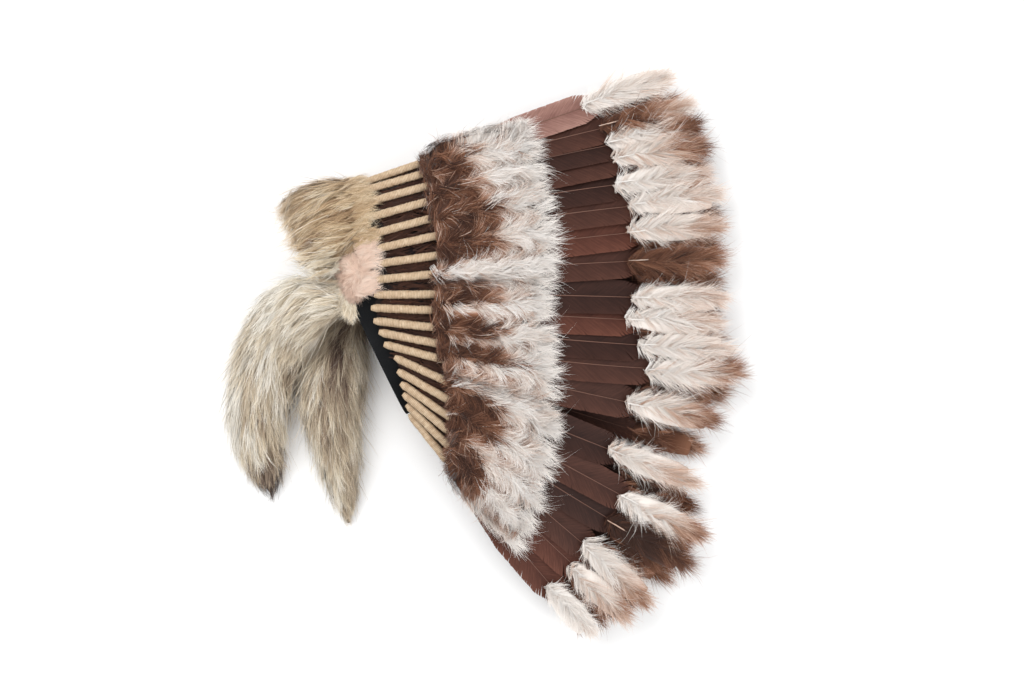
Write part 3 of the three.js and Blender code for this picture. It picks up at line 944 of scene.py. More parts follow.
@dataclass(frozen=True)
class VaneFinish:
    """A vane: fine slanted barbs, a redder margin, and broad lighter and darker patches that are
    partly its own uneven colour and partly painted sheen.
    """

    name: str
    dark: tuple
    light: tuple
    roughness: float = 0.5
    gloss: float = 0.14
    slant: float = -0.22
    barbs: tuple = (2.0, 170.0)
    # Scales of the broad patches, partly uneven colour and partly painted sheen
    wear: tuple = (3.0, 9.0)
    margin: float = 0.45
    bump: float = 0.4 * MM

    def material(self) -> Material:
        """Make the node material. The atlas runs margin to margin and foot to tip.

        Returns:
            The material.
        """
        make = Shader(self.name)
        u, v = make.axes()
        off = make.maths("ABSOLUTE", make.maths("SUBTRACT", u, 0.5))
        slant = make.maths("MULTIPLY_ADD", off, self.slant, v)
        barb = make.streaks(off, slant, self.barbs)
        # Broad patches over the whole vane: partly the feather's own uneven colour, partly painted
        # sheen
        wear = make.maths("MULTIPLY_ADD", make.streaks(u, slant, self.wear), 0.7, -0.35)
        mix = make.maths("ADD", make.maths("MULTIPLY_ADD", barb, 0.9, -0.25), wear)
        margin = make.maths("POWER", make.maths("MULTIPLY", off, 2.0), 5.0)
        mix = make.maths("MULTIPLY_ADD", margin, self.margin, mix)
        hue = make.ramp(mix, (0.0, self.dark), (1.0, self.light))
        make.bumps(barb, 0.35, self.bump)
        inputs = {"Base Color": hue, "Roughness": self.roughness}
        make.put(make.surface, inputs | {"Specular IOR Level": self.gloss})
        return make.material


@dataclass(frozen=True)
class ShaftFinish:
    """The bare shaft of a feather, horn-coloured and slightly glossy."""

    name: str = "feather_shaft"
    foot: tuple = (0.6, 0.42, 0.3)
    tip: tuple = (0.14, 0.06, 0.038)
    tip_from: float = 0.45
    roughness: float = 0.4
    streaks: tuple = (6.0, 30.0)

    def material(self) -> Material:
        """Make the node material.

        Returns:
            The material.
        """
        make = Shader(self.name)
        u, v = make.axes()
        hue = make.ramp(v, (0.0, self.foot), (self.tip_from, self.tip), (1.0, self.tip))
        shade = make.maths("MULTIPLY_ADD", make.streaks(u, v, self.streaks), 0.4, 0.8)
        inputs = {"Base Color": make.tint(hue, shade), "Roughness": self.roughness}
        make.put(make.surface, inputs)
        return make.material


@dataclass(frozen=True)
class TwineFinish:
    """Undyed twine, in close turns round the quills, with painted shade in the grooves between the
    turns.
    """

    name: str = "quill_twine"
    light: tuple = (0.86, 0.7, 0.5)
    dark: tuple = (0.4, 0.26, 0.15)
    roughness: float = 0.85
    fibres: tuple = (9.0, 150.0)
    wear: tuple = (3.0, 12.0)
    # Scale of the patches where the grooves' painted shade is deeper, and the noise level they
    # start at
    darker_grooves: tuple = (2.5, 48.0)
    darker_grooves_from: float = 0.62
    bump: float = 0.3 * MM

    def material(self) -> Material:
        """Make the node material. The atlas runs round the quill and along it.

        Returns:
            The material.
        """
        make = Shader(self.name)
        u, v = make.axes()
        fibre = make.streaks(u, v, self.fibres)
        wear = make.maths("MULTIPLY_ADD", make.streaks(u, v, self.wear), 0.8, -0.4)
        mix = make.maths("ADD", make.maths("MULTIPLY_ADD", fibre, 0.9, -0.2), wear)
        hue = make.ramp(mix, (0.0, self.dark), (0.75, self.light), (1.0, self.light))
        # Painted shade: the grooves between the turns are drawn darker, and darker still in patches
        turn = make.maths("FRACT", make.maths("MULTIPLY_ADD", v, TWINE_TURNS, u))
        groove = make.maths("ABSOLUTE", make.maths("SUBTRACT", turn, 0.5))
        groove = make.maths("POWER", make.maths("MULTIPLY", groove, 2.0), 4.0)
        darker_groove = make.maths("GREATER_THAN", make.streaks(u, v, self.darker_grooves), self.darker_grooves_from)
        depth = make.maths("MULTIPLY_ADD", darker_groove, 0.35, 0.55)
        shade = make.maths("SUBTRACT", 1.0, make.maths("MULTIPLY", groove, depth))
        make.bumps(fibre, 0.4, self.bump)
        inputs = {"Base Color": make.tint(hue, shade), "Roughness": self.roughness}
        make.put(make.surface, inputs)
        return make.material


@dataclass(frozen=True)
class FeltFinish:
    """Near-black wool felt with a matted nap."""

    name: str = "black_felt"
    colour: tuple = (0.004, 0.0045, 0.005)
    worn: tuple = (0.012, 0.0125, 0.014)
    roughness: float = 0.95
    gloss: float = 0.15
    nap: float = 900.0
    wear: float = 30.0
    bump: float = 0.6 * MM

    def material(self) -> Material:
        """Make the node material.

        Returns:
            The material.
        """
        make = Shader(self.name)
        place = make.node("ShaderNodeTexCoord", {}).outputs["Object"]
        inputs = {"Vector": place, "Scale": self.nap, "Detail": 4.0}
        nap = make.node("ShaderNodeTexNoise", inputs).outputs["Fac"]
        inputs = {"Vector": place, "Scale": self.wear}
        wear = make.node("ShaderNodeTexNoise", inputs).outputs["Fac"]
        mix = make.maths("MULTIPLY", nap, wear)
        make.bumps(nap, 0.6, self.bump)
        hue = make.ramp(mix, (0.1, self.colour), (0.55, self.worn))
        inputs = {"Base Color": hue, "Roughness": self.roughness}
        make.put(make.surface, inputs | {"Specular IOR Level": self.gloss})
        return make.material


DOWN_STOPS = (
    (0.0, (0.03, 0.011, 0.007)),
    (0.2, (0.13, 0.05, 0.026)),
    (0.38, (0.33, 0.15, 0.085)),
    (0.55, (0.66, 0.44, 0.33)),
    (0.75, (0.9, 0.81, 0.74)),
    (1.0, (0.98, 0.945, 0.91)),
)
TAN_STOPS = (
    (0.0, (0.07, 0.035, 0.018)),
    (0.25, (0.27, 0.16, 0.085)),
    (0.5, (0.58, 0.4, 0.23)),
    (0.75, (0.8, 0.66, 0.46)),
    (1.0, (0.93, 0.87, 0.76)),
)
GREY_STOPS = (
    (0.0, (0.055, 0.03, 0.024)),
    (0.25, (0.22, 0.15, 0.11)),
    (0.5, (0.52, 0.41, 0.29)),
    (0.75, (0.8, 0.69, 0.52)),
    (1.0, (0.95, 0.91, 0.83)),
)
PINK_STOPS = (
    (0.0, (0.6, 0.38, 0.27)),
    (0.5, (0.86, 0.63, 0.5)),
    (1.0, (0.94, 0.8, 0.69)),
)


# Sub-assemblies


@dataclass
class FeltCap:
    """The hollow felt cap: two skins of a soft dome, joined round the rim."""

    columns: int = 120
    rows: int = 30
    wrinkle: float = 1.1 * MM
    rim_bulge: float = 0.8 * MM

    def skin(self, inset: float) -> Array:
        """Find one skin's grid of points.

        Args:
            inset: How far inside the outer skin it is.

        Returns:
            Points, turns by rises.
        """
        turn = np.linspace(0, 2 * np.pi, self.columns + 1)[:, None]
        share = 1 - (1 - np.linspace(0, 1, self.rows)[None]) ** 1.6
        rise = share * (CAP_DEPTH - inset) * 0.999
        points = dome_point(turn, rise, 0.0, inset)
        # Long folds and a fine crumple, each the product of two waves
        sag = np.sin(turn * 7 + share * 9) * np.sin(share * 6 + turn * 3)
        fine = np.sin(turn * 23 + share * 31) * np.cos(turn * 17 - share * 22)
        depth = (0.7 * sag + 0.3 * fine - 1) * self.wrinkle / 2
        depth = depth * bump(share * 1.02) ** 0.5
        du, dv = np.gradient(points, axis=0), np.gradient(points, axis=1)
        normal = unit(np.cross(du, dv))
        middle = from_cap(np.array(0.0), rise * 0.5, np.array(0.0))
        normal *= np.sign(np.sum(normal * (points - middle), axis=-1, keepdims=True))
        return points + normal * depth[..., None]

    def build(self) -> bpy.types.Object:
        """Make the cap.

        Returns:
            The finished object.
        """
        outer, inner = self.skin(0.0), self.skin(FELT_THICKNESS)
        turns = np.linspace(0.01, 0.99, self.columns + 1)
        atlas = grid(turns, np.linspace(0.01, 0.48, self.rows))
        rim = np.stack([inner[:, 0], (inner[:, 0] + outer[:, 0]) / 2, outer[:, 0]], axis=1)
        rim[:, 1] += from_cap(0.0, -self.rim_bulge, 0.0) - from_cap(0.0, 0.0, 0.0)
        patches = [
            grid_patch(outer, atlas),
            grid_patch(inner, atlas + np.array([0, 0.5]), flip=True),
            grid_patch(rim, grid(turns, np.array([0.484, 0.49, 0.496]))),
        ]
        return make_piece("cap_shell", patches, [FeltFinish().material()], ["felt_cap"])


@dataclass
class UnderFeathers:
    """Short dark feathers laid on the cap under the quills, one layer a side. Their near-black
    colour also paints the shade in the gaps between the quills.
    """

    side: Side
    finish: Material
    rows: int = 5
    across: int = 34
    length: float = 26 * MM
    half_width: float = 6.5 * MM
    widths: tuple = (0.25, 0.85, 1.0, 0.9, 0.6)
    cap_radius: float = 90 * MM
    overlap: float = 0.9
    short_of_top: float = 14 * MM
    lowest: float = 0.1 * MM
    level: float = 0.17 * MM
    camber: float = 0.3 * MM

    def build(self) -> bpy.types.Object:
        """Make the layer of blades.

        Returns:
            The finished object.
        """
        rng = np.random.default_rng(31 + self.side.value)
        made = []
        for row in range(self.rows):
            share = row / (self.rows - 1)
            place = (np.arange(self.across) + 0.5 * (row % 2)) / self.across
            turn = UNDER_FROM + (UNDER_TO - UNDER_FROM) * np.clip(place, 0.01, 0.99)
            turn = self.side.value * (turn + rng.normal(0, 0.008, self.across))
            low = foot_rise(turn) + rng.uniform(0, 5, self.across) * MM
            start = low + (UNDER_TOP - self.short_of_top - low) * share
            off = self.lowest + (self.rows - row) * self.level
            made.append(self.blades(turn, start, off, rng))
        side = self.side.name.lower()
        nodes = [f"under_feathers_{side}"]
        return make_piece(f"under_layer_{side}", made, [self.finish], nodes)

    def blades(self, turn: Array, start: Array, off: float, rng: np.random.Generator) -> Patch:
        """Make one row of blades.

        Args:
            turn: Each blade's angle round the cap.
            start: Each blade's lower end, from the rim.
            off: Height over the felt gap.
            rng: Seeded random numbers.

        Returns:
            The patch of blades.
        """
        t = np.linspace(0, 1, len(self.widths))
        length = np.minimum(self.length * rng.uniform(0.8, 1.1, len(turn)), UNDER_TOP - start)
        rise = start[:, None] + length[:, None] * t[None]
        lean = rng.normal(0, 0.02, len(turn))[:, None] * t[None]
        spread = self.half_width * np.array(self.widths) / self.cap_radius
        columns = [turn[:, None] + lean + k * spread[None] * self.overlap for k in (-1, 0, 1)]
        lift = [FELT_GAP + off, FELT_GAP + off + self.camber, FELT_GAP + off]
        points = np.stack([dome_point(c, rise, h) for c, h in zip(columns, lift)], axis=1)
        patches = []
        atlas = grid(np.array([0.02, 0.5, 0.98]), 0.02 + 0.2 * t)
        for blade in points:
            patch = grid_patch(blade, atlas)
            outwards = blade.mean(axis=(0, 1)) - from_cap(0.0, 40 * MM, 0.0)
            if np.dot(patch.normals.mean(axis=0), outwards) < 0:
                patch = grid_patch(blade, atlas, flip=True)
            patches.append(patch)
        return join(patches)


@dataclass
class Feathers:
    """One side's long feathers: twine-wrapped quills, shafts and barbed vanes."""

    fan: Fan
    vanes: list[Material]
    shaft: Material
    twine: Material
    barbs: int = 64
    facets: int = 10
    ridge: float = 0.84
    shaft_angles: tuple = (0, 60, 120, 180, 270, 360)
    barb_steps: tuple = (0, 0.4, 0.75, 1.0)
    barb_widths: tuple = (0.62, 0.62, 0.62, 0.5)
    barb_step: float = 0.18 * MM
    sweep_power: float = 1.3
    splits: float = 0.16

    def build(self) -> list[bpy.types.Object]:
        """Make every feather of the side.

        Returns:
            One object a feather.
        """
        made = []
        for i in range(self.fan.count):
            rng = np.random.default_rng(100 * self.fan.side.value + 500 + i)
            name = f"feather_{self.fan.side.name.lower()}_{i + 1:02d}"
            parts = [self.quill(i), self.rachis(i), self.vane(i, -1, rng), self.vane(i, 1, rng)]
            finishes = [self.vanes[VANE_TONES[i]], self.shaft, self.twine]
            made.append(make_piece(f"{name}_full", parts, finishes, [name]))
        return made

    def quill(self, i: int) -> Patch:
        """Make the wrapped quill.

        Args:
            i: Which feather.

        Returns:
            The patch, in the twine's finish.
        """
        steps = TWINE_TURNS * 2
        along = np.repeat(np.linspace(0, 1, steps + 1)[None], self.facets + 1, axis=0)
        angle = np.linspace(0, 2 * np.pi, self.facets + 1)[:, None]
        helix = along + angle / (2 * np.pi) / TWINE_TURNS - 0.5 / TWINE_TURNS
        helix = np.clip(np.where((along <= 0) | (along >= 1), along, helix), 0, 1)
        profile = look_up(QUILL_WIDTHS, helix)
        ridge = np.where(np.arange(steps + 1) % 2, 1.0, self.ridge)[None]
        rng = np.random.default_rng(900 + i)
        uneven = 1 + np.repeat(rng.normal(0, 0.035, TWINE_TURNS + 1), 2)[None, : steps + 1]
        slack = 1 + 0.04 * np.sin(along * 17 + rng.uniform(0, 6)) * np.cos(angle - 1)
        radius = QUILL_RADIUS * profile * ridge * np.clip(uneven * slack, 0.85, 1.06)
        point, _, across, out = self.fan.axes(i, helix * QUILL_LENGTH)
        point = point + across * (radius * np.cos(angle))[..., None]
        point = point + out * (radius * np.sin(angle))[..., None]
        u = np.broadcast_to(angle / (2 * np.pi), helix.shape) * 0.98 + 0.01
        atlas = np.stack([u, 0.01 + 0.98 * along], axis=-1)
        side = grid_patch(point, atlas, flip=self.fan.side is Side.TOP, finish=2)
        ends = []
        for k in (0, -1):
            ring = point[:-1, k]
            centre = ring.mean(axis=0, keepdims=True)
            ids = np.arange(self.facets)
            faces = np.stack([ids, np.roll(ids, -1), np.full(self.facets, self.facets)], axis=1)
            points = np.concatenate([ring, centre])
            axis = unit(point[:, 0].mean(0) - point[:, -1].mean(0)) * (1 if k == 0 else -1)
            places = np.tile([0.5, 0.985 if k else 0.015], (len(points), 1))
            places = places + cap_places(len(points))
            ends.append(Patch(points, faces, places, np.tile(axis, (len(points), 1)), 2))
        return join([side, *ends])

    def rachis(self, i: int) -> Patch:
        """Make the raised shaft over the vane.

        Args:
            i: Which feather.

        Returns:
            The patch, in the shaft's finish.
        """
        vane = self.fan.length[i] - QUILL_LENGTH
        share = np.linspace(0, 0.97, 15)
        s = QUILL_LENGTH - 2 * MM + share * (vane + 2 * MM)
        point, _, across, out = self.fan.axes(i, s)
        width = (1.0 - 0.7 * share) * MM
        rim = []
        for angle in self.shaft_angles:
            c, d = math.cos(math.radians(angle)), math.sin(math.radians(angle))
            up = width * d * 0.9 + 0.2 * MM
            rim.append(point + across * (width * c)[:, None] + out * up[:, None])
        atlas = grid(np.linspace(0.02, 0.98, len(rim)), 0.02 + 0.96 * share)
        flip = self.fan.side is Side.TOP
        return grid_patch(np.stack(rim), atlas, flip=flip, finish=1)

    def vane(self, i: int, hand: int, rng: np.random.Generator) -> Patch:
        """Make the barbs on one side of the shaft.

        Args:
            i: Which feather.
            hand: -1 towards the brow, 1 towards the nape.
            rng: Seeded random numbers.

        Returns:
            The patch, in the vane's finish.
        """
        vane = self.fan.length[i] - QUILL_LENGTH
        count, t = self.barbs, np.array(self.barb_steps)
        spacing = vane / count
        share = (np.arange(count) + 0.5) / count
        group = np.cumsum(rng.uniform(0, 1, count) < self.splits)
        jitter = rng.normal(0, 0.45, group.max() + 1)[group] * MM
        opening = np.abs(jitter) * 0.25
        sweep = (9 + 5 * share) * MM + jitter + rng.normal(0, 0.25, count) * MM
        shares = np.clip(share + (sweep * 0.8) / vane, 0, 1)
        wide = look_up(VANE_WIDTHS, shares) * VANE_HALF_WIDTH
        wide = wide * rng.uniform(0.985, 1.01, count)
        end = self.fan.length[i] - 0.5 * MM
        s = QUILL_LENGTH + share[:, None] * vane + sweep[:, None] * t[None] ** self.sweep_power
        s = np.minimum(s, end)
        point, along, across, out = self.fan.axes(i, s)
        tilt_wide = across * math.cos(SHINGLE_TILT) + out * math.sin(SHINGLE_TILT)
        tilt_face = out * math.cos(SHINGLE_TILT) - across * math.sin(SHINGLE_TILT)
        centre = point + tilt_wide * (hand * wide[:, None] * t[None])[..., None]
        curl = -VANE_CAMBER * t[None] ** 2 - opening[:, None] * t[None] * 0.5
        curl = curl + rng.normal(0, 0.05, (count, 1)) * MM * t[None]
        centre = centre + tilt_face * curl[..., None]
        half = spacing * np.array(self.barb_widths)[None, :, None]
        low, high = centre - along * half, centre + along * half
        low = low + tilt_face * (self.barb_step * t[None, :, None])
        strip = np.stack([low, high], axis=1)
        columns = len(t)
        local = grid_triangles(2, columns, flip=(hand > 0) == (self.fan.side is Side.TOP))
        faces = local[None] + (np.arange(count) * 2 * columns)[:, None, None]
        slope = hand * 2 * VANE_CAMBER / VANE_HALF_WIDTH * t
        normal = unit(tilt_face - tilt_wide * slope[None, :, None])
        normals = np.repeat(normal[:, None], 2, axis=1)
        u = 0.5 + hand * 0.48 * t
        v = np.stack([share - 0.5 / count, share + 0.5 / count], axis=1)[..., None]
        v = v + (sweep / vane)[:, None, None] * t[None, None] ** self.sweep_power
        atlas = np.stack([np.broadcast_to(u, v.shape), np.clip(v, 0.005, 0.995)], axis=-1)
        return Patch(
            strip.reshape(-1, 3), faces.reshape(-1, 3), atlas.reshape(-1, 2), normals.reshape(-1, 3)
        )


def cap_places(count: int) -> Array:
    """Spread the atlas places of a small cap a little."""
    angle = np.linspace(0, 2 * np.pi, count)
    return np.stack([np.cos(angle), np.sin(angle)], axis=1) * 0.008


# Of the pile at each point: its direction, its share of the style's length, and its tones
# at root and tip
Flow = tuple[Array, Array, Array, Array]


@dataclass
class PilePiece:
    """A piece covered with down or fur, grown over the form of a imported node."""

    node: str
    finish: Material
    slot: str
    style: LockStyle
    locks: int
    seed: int
    inset: float = 5 * MM
    bury: float = 4 * MM
    # How much darker the core is drawn than the pile, as painted shade deep in the pile
    core_dark: float = 0.04
    uneven: float = 0.09

    def flow(self, points: Array, normals: Array) -> Flow:
        """Say how the pile lies at points of the surface.

        Args:
            points: Points of the surface.
            normals: Normals there.

        Returns:
            Direction, share of the length, and the tones at root and tip.
        """
        raise NotImplementedError

    def build(self) -> bpy.types.Object:
        """Make the core and its locks.

        Returns:
            The finished object.
        """
        rng = np.random.default_rng(self.seed)
        form = Form.of_node(self.node)
        patches = self.bodies(form) + self.grow(rng, form)
        return make_piece(f"{self.node}_pile", patches, [self.finish], [self.node])

    def bodies(self, form: Form) -> list[Patch]:
        """Make what lies under the pile.

        Args:
            form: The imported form.

        Returns:
            Patches of the core.
        """
        tone = self.flow(form.points, form.normals)[2]
        # The core is drawn darker than the pile over it: painted shade deep in the pile
        return [form.core(self.inset, tone - self.core_dark)]

    def roots(self, points: Array, normals: Array) -> Array:
        """Say where the locks at points of the surface are rooted.

        Args:
            points: Points of the surface.
            normals: Normals there.

        Returns:
            The locks' roots.
        """
        return points - normals * self.bury

    def grow(self, rng: np.random.Generator, form: Form) -> list[Patch]:
        """Grow the locks all over the form.

        Args:
            rng: Seeded random numbers.
            form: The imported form.

        Returns:
            Patches of strands.
        """
        points, normals = form.scatter(rng, self.locks)
        along, scale, root, tip = self.flow(points, normals)
        along = unit(along - normals * np.sum(along * normals, axis=1, keepdims=True))
        start = self.roots(points, normals)
        jitter = rng.normal(0, self.uneven, len(points))
        return [strands(rng, self.style, start, along, normals, scale, root + jitter, tip + jitter)]


TUFTS, TUFT_PHASE = 0.68, 0.2  # tufts a feather, and where the first one starts
LINING = LockStyle(7, 26 * MM, 4 * MM, 1.5 * MM, 0.02, 0.02, 0.3, 0.05, flat=0.1, joints=3)
SPRAY = LockStyle(
    13, 30 * MM, 3 * MM, 0.4 * MM, 0.12, 0.32, gather=-0.6, fray=0.2, curl=0.14, flat=0.4, back=0.2
)


@dataclass
class FootDown(PilePiece):
    """Down at the feathers' feet: brown by the quills, white past them."""

    fan: Fan = None
    run: tuple[int, int] = (0, 0)
    near: float = 5 * MM
    short: float = 0.82
    core_short: float = 0.12
    seam_depth: float = 5 * MM
    lining: int = 34  # loose locks a feather under the quills
    brow_lining: int = 150  # more of them, at the brow
    spray: int = 15  # loose locks a feather at the far edge

    def drawn_in(self, points: Array, near: float, short: float) -> Array:
        """Shorten the row, so that its locks' tips end where the form does.

        Args:
            points: Points of the row.
            near: How far past the form's near end the row may start.
            short: Its length as a share of the form's.

        Returns:
            The moved points.
        """
        place, s = self.fan.locate(points)
        along = self.fan.axes(place, s)[1]
        lobe = np.cos(2 * np.pi * (place * TUFTS + TUFT_PHASE))
        uneven = 1 + 0.055 * lobe + 0.03 * np.sin(place * 2.1 + 0.6)
        past = np.maximum(s - DOWN_FROM, 0)
        ahead = np.maximum(DOWN_FROM + near - s, 0) * 0.9
        return points + along * (ahead + past * (short * uneven - 1))[:, None]

    def roots(self, points: Array, normals: Array) -> Array:
        """Root the locks deeper at the seams. Args and Returns are as in PilePiece."""
        place, s = self.fan.locate(points)
        seam = 0.5 - 0.5 * np.cos(2 * np.pi * (place * TUFTS + TUFT_PHASE))
        far = smooth(DOWN_FROM + 30 * MM, DOWN_TO, s)
        deep = self.bury + self.seam_depth * seam**2 * far
        return self.drawn_in(points - normals * deep[:, None], self.near, self.short)

    def bodies(self, form: Form) -> list[Patch]:
        """Make the core, short of the row's ends. Args and Returns are as in PilePiece."""
        core = super().bodies(form)[0]
        core.points = self.drawn_in(core.points, self.near + 4 * MM, self.short - self.core_short)
        return [core]

    def grow(self, rng: np.random.Generator, form: Form) -> list[Patch]:
        """Grow the row and the loose locks round it. Args and Returns are as in PilePiece."""
        made = super().grow(rng, form)
        if self.fan.side is Side.TOP:
            feathers = self.run[1] - self.run[0] + 1
            count = self.lining * feathers
            # Near-black lining locks under the quills: dark down whose tone also paints the shade
            # between the quills
            made.append(self.scattered(rng, LINING, count, (18, 84), (-5.5, -3.5), 0.03))
            if self.run[0] == 0:
                brow = replace(self, run=(0, 2))
                count = self.brow_lining
                made.append(brow.scattered(rng, LINING, count, (22, 72), (-5.5, -3.5), 0.03))
            count = self.spray * feathers
            made.append(self.scattered(rng, SPRAY, count, (166, 184), (7, 14), 0.93))
        return made

    def scattered(
        self,
        rng: np.random.Generator,
        style: LockStyle,
        count: int,
        reach: tuple[float, float],
        height: tuple[float, float],
        tone: float,
    ) -> Patch:
        """Grow loose locks along the feathers.

        Args:
            rng: Seeded random numbers.
            style: How the strands lie.
            count: Number of locks.
            reach: Nearest and farthest root from the quill foot, in millimetres.
            height: Lowest and highest root off the feathers, in millimetres.
            tone: Their tone.

        Returns:
            The patch of strands.
        """
        place = rng.uniform(self.run[0] - 0.5, self.run[1] + 0.5, count)
        place = np.clip(place, 0.0, self.fan.count - 1.0)
        s = rng.uniform(*reach, count) * MM
        point, along, across, out = self.fan.axes(place, s)
        root = point + out * (rng.uniform(*height, count) * MM)[:, None]
        lean = unit(along + across * rng.normal(0, 0.2, count)[:, None])
        tones = tone + rng.normal(0, 0.02, count)
        return strands(rng, style, root, lean, out, rng.uniform(0.7, 1.1, count), tones, tones)

    def flow(self, points: Array, normals: Array) -> Flow:
        """Say how the down lies. Args and Returns are as in PilePiece."""
        place, s = self.fan.locate(points)
        _, along, across, out = self.fan.axes(place, s)
        tuft = place * TUFTS + TUFT_PHASE
        whole = tuft - np.round(tuft)
        s = DOWN_FROM + (s - DOWN_FROM) * (self.short + 0.03)
        reach = look_up(BROWN_REACH, place) * MM
        # The uneven border between brown and white
        wave = np.sin(points[:, 0] * 330 + points[:, 1] * 210) * 6 * MM
        wave += np.sin(points[:, 0] * 140 - points[:, 1] * 470) * 5 * MM
        white = smooth(-8 * MM, 9 * MM, s - reach + wave)
        dark = smooth(0.15, 0.9, np.sin(s * 95 + place * 2.1) * 0.5 + 0.5)
        deep = 0.22 - 0.2 * dark * smooth(DOWN_FROM + 2 * MM, DOWN_FROM + 18 * MM, s)
        # Root tones: dark brown by the quills; past the brown, the white down's roots are drawn
        # darker than its tips, and darker still towards the seams between tufts, which paints the
        # shade deep in the down and in its partings
        root = deep + (0.85 - deep) * white
        root = root - 0.45 * smooth(0.15, 0.5, np.abs(whole)) * white
        late = smooth(-20 * MM, 2 * MM, s - reach + wave)
        tip = 0.2 + 0.14 * np.sin(place * 5 + s * 60) + (0.97 - 0.2) * late
        start = smooth(DOWN_FROM + 30 * MM, DOWN_FROM - 4 * MM, s)
        last = self.fan.count - 1
        edge = smooth(0.9, -0.3, place) * -1.7 + smooth(last - 0.9, last + 0.3, place) * 1.7
        swirl = np.sin(points[:, 0] * 170 + points[:, 1] * 120) * 0.35
        direction = along * (1 - 1.15 * start[:, None])
        direction = direction + across * (whole * 1.9 + edge + swirl)[:, None]
        direction = direction + out * (0.5 * start)[:, None]
        scale = 0.8 + 0.35 * smooth(DOWN_FROM, DOWN_TO, s)
        haze = smooth(0.5, -0.4, place) * smooth(DOWN_FROM, DOWN_FROM + 40 * MM, s)
        return direction, scale, root, np.maximum(tip, 0.7 * haze)


# A plume's own shaft
PLUME_SHAFT = LockStyle(
    5, PLUME_LENGTH * 0.6, 0.5 * MM, 0.8 * MM, 0.02, 0.02, 0.8, 0.01, 0.02, 0.0, back=0.0
)


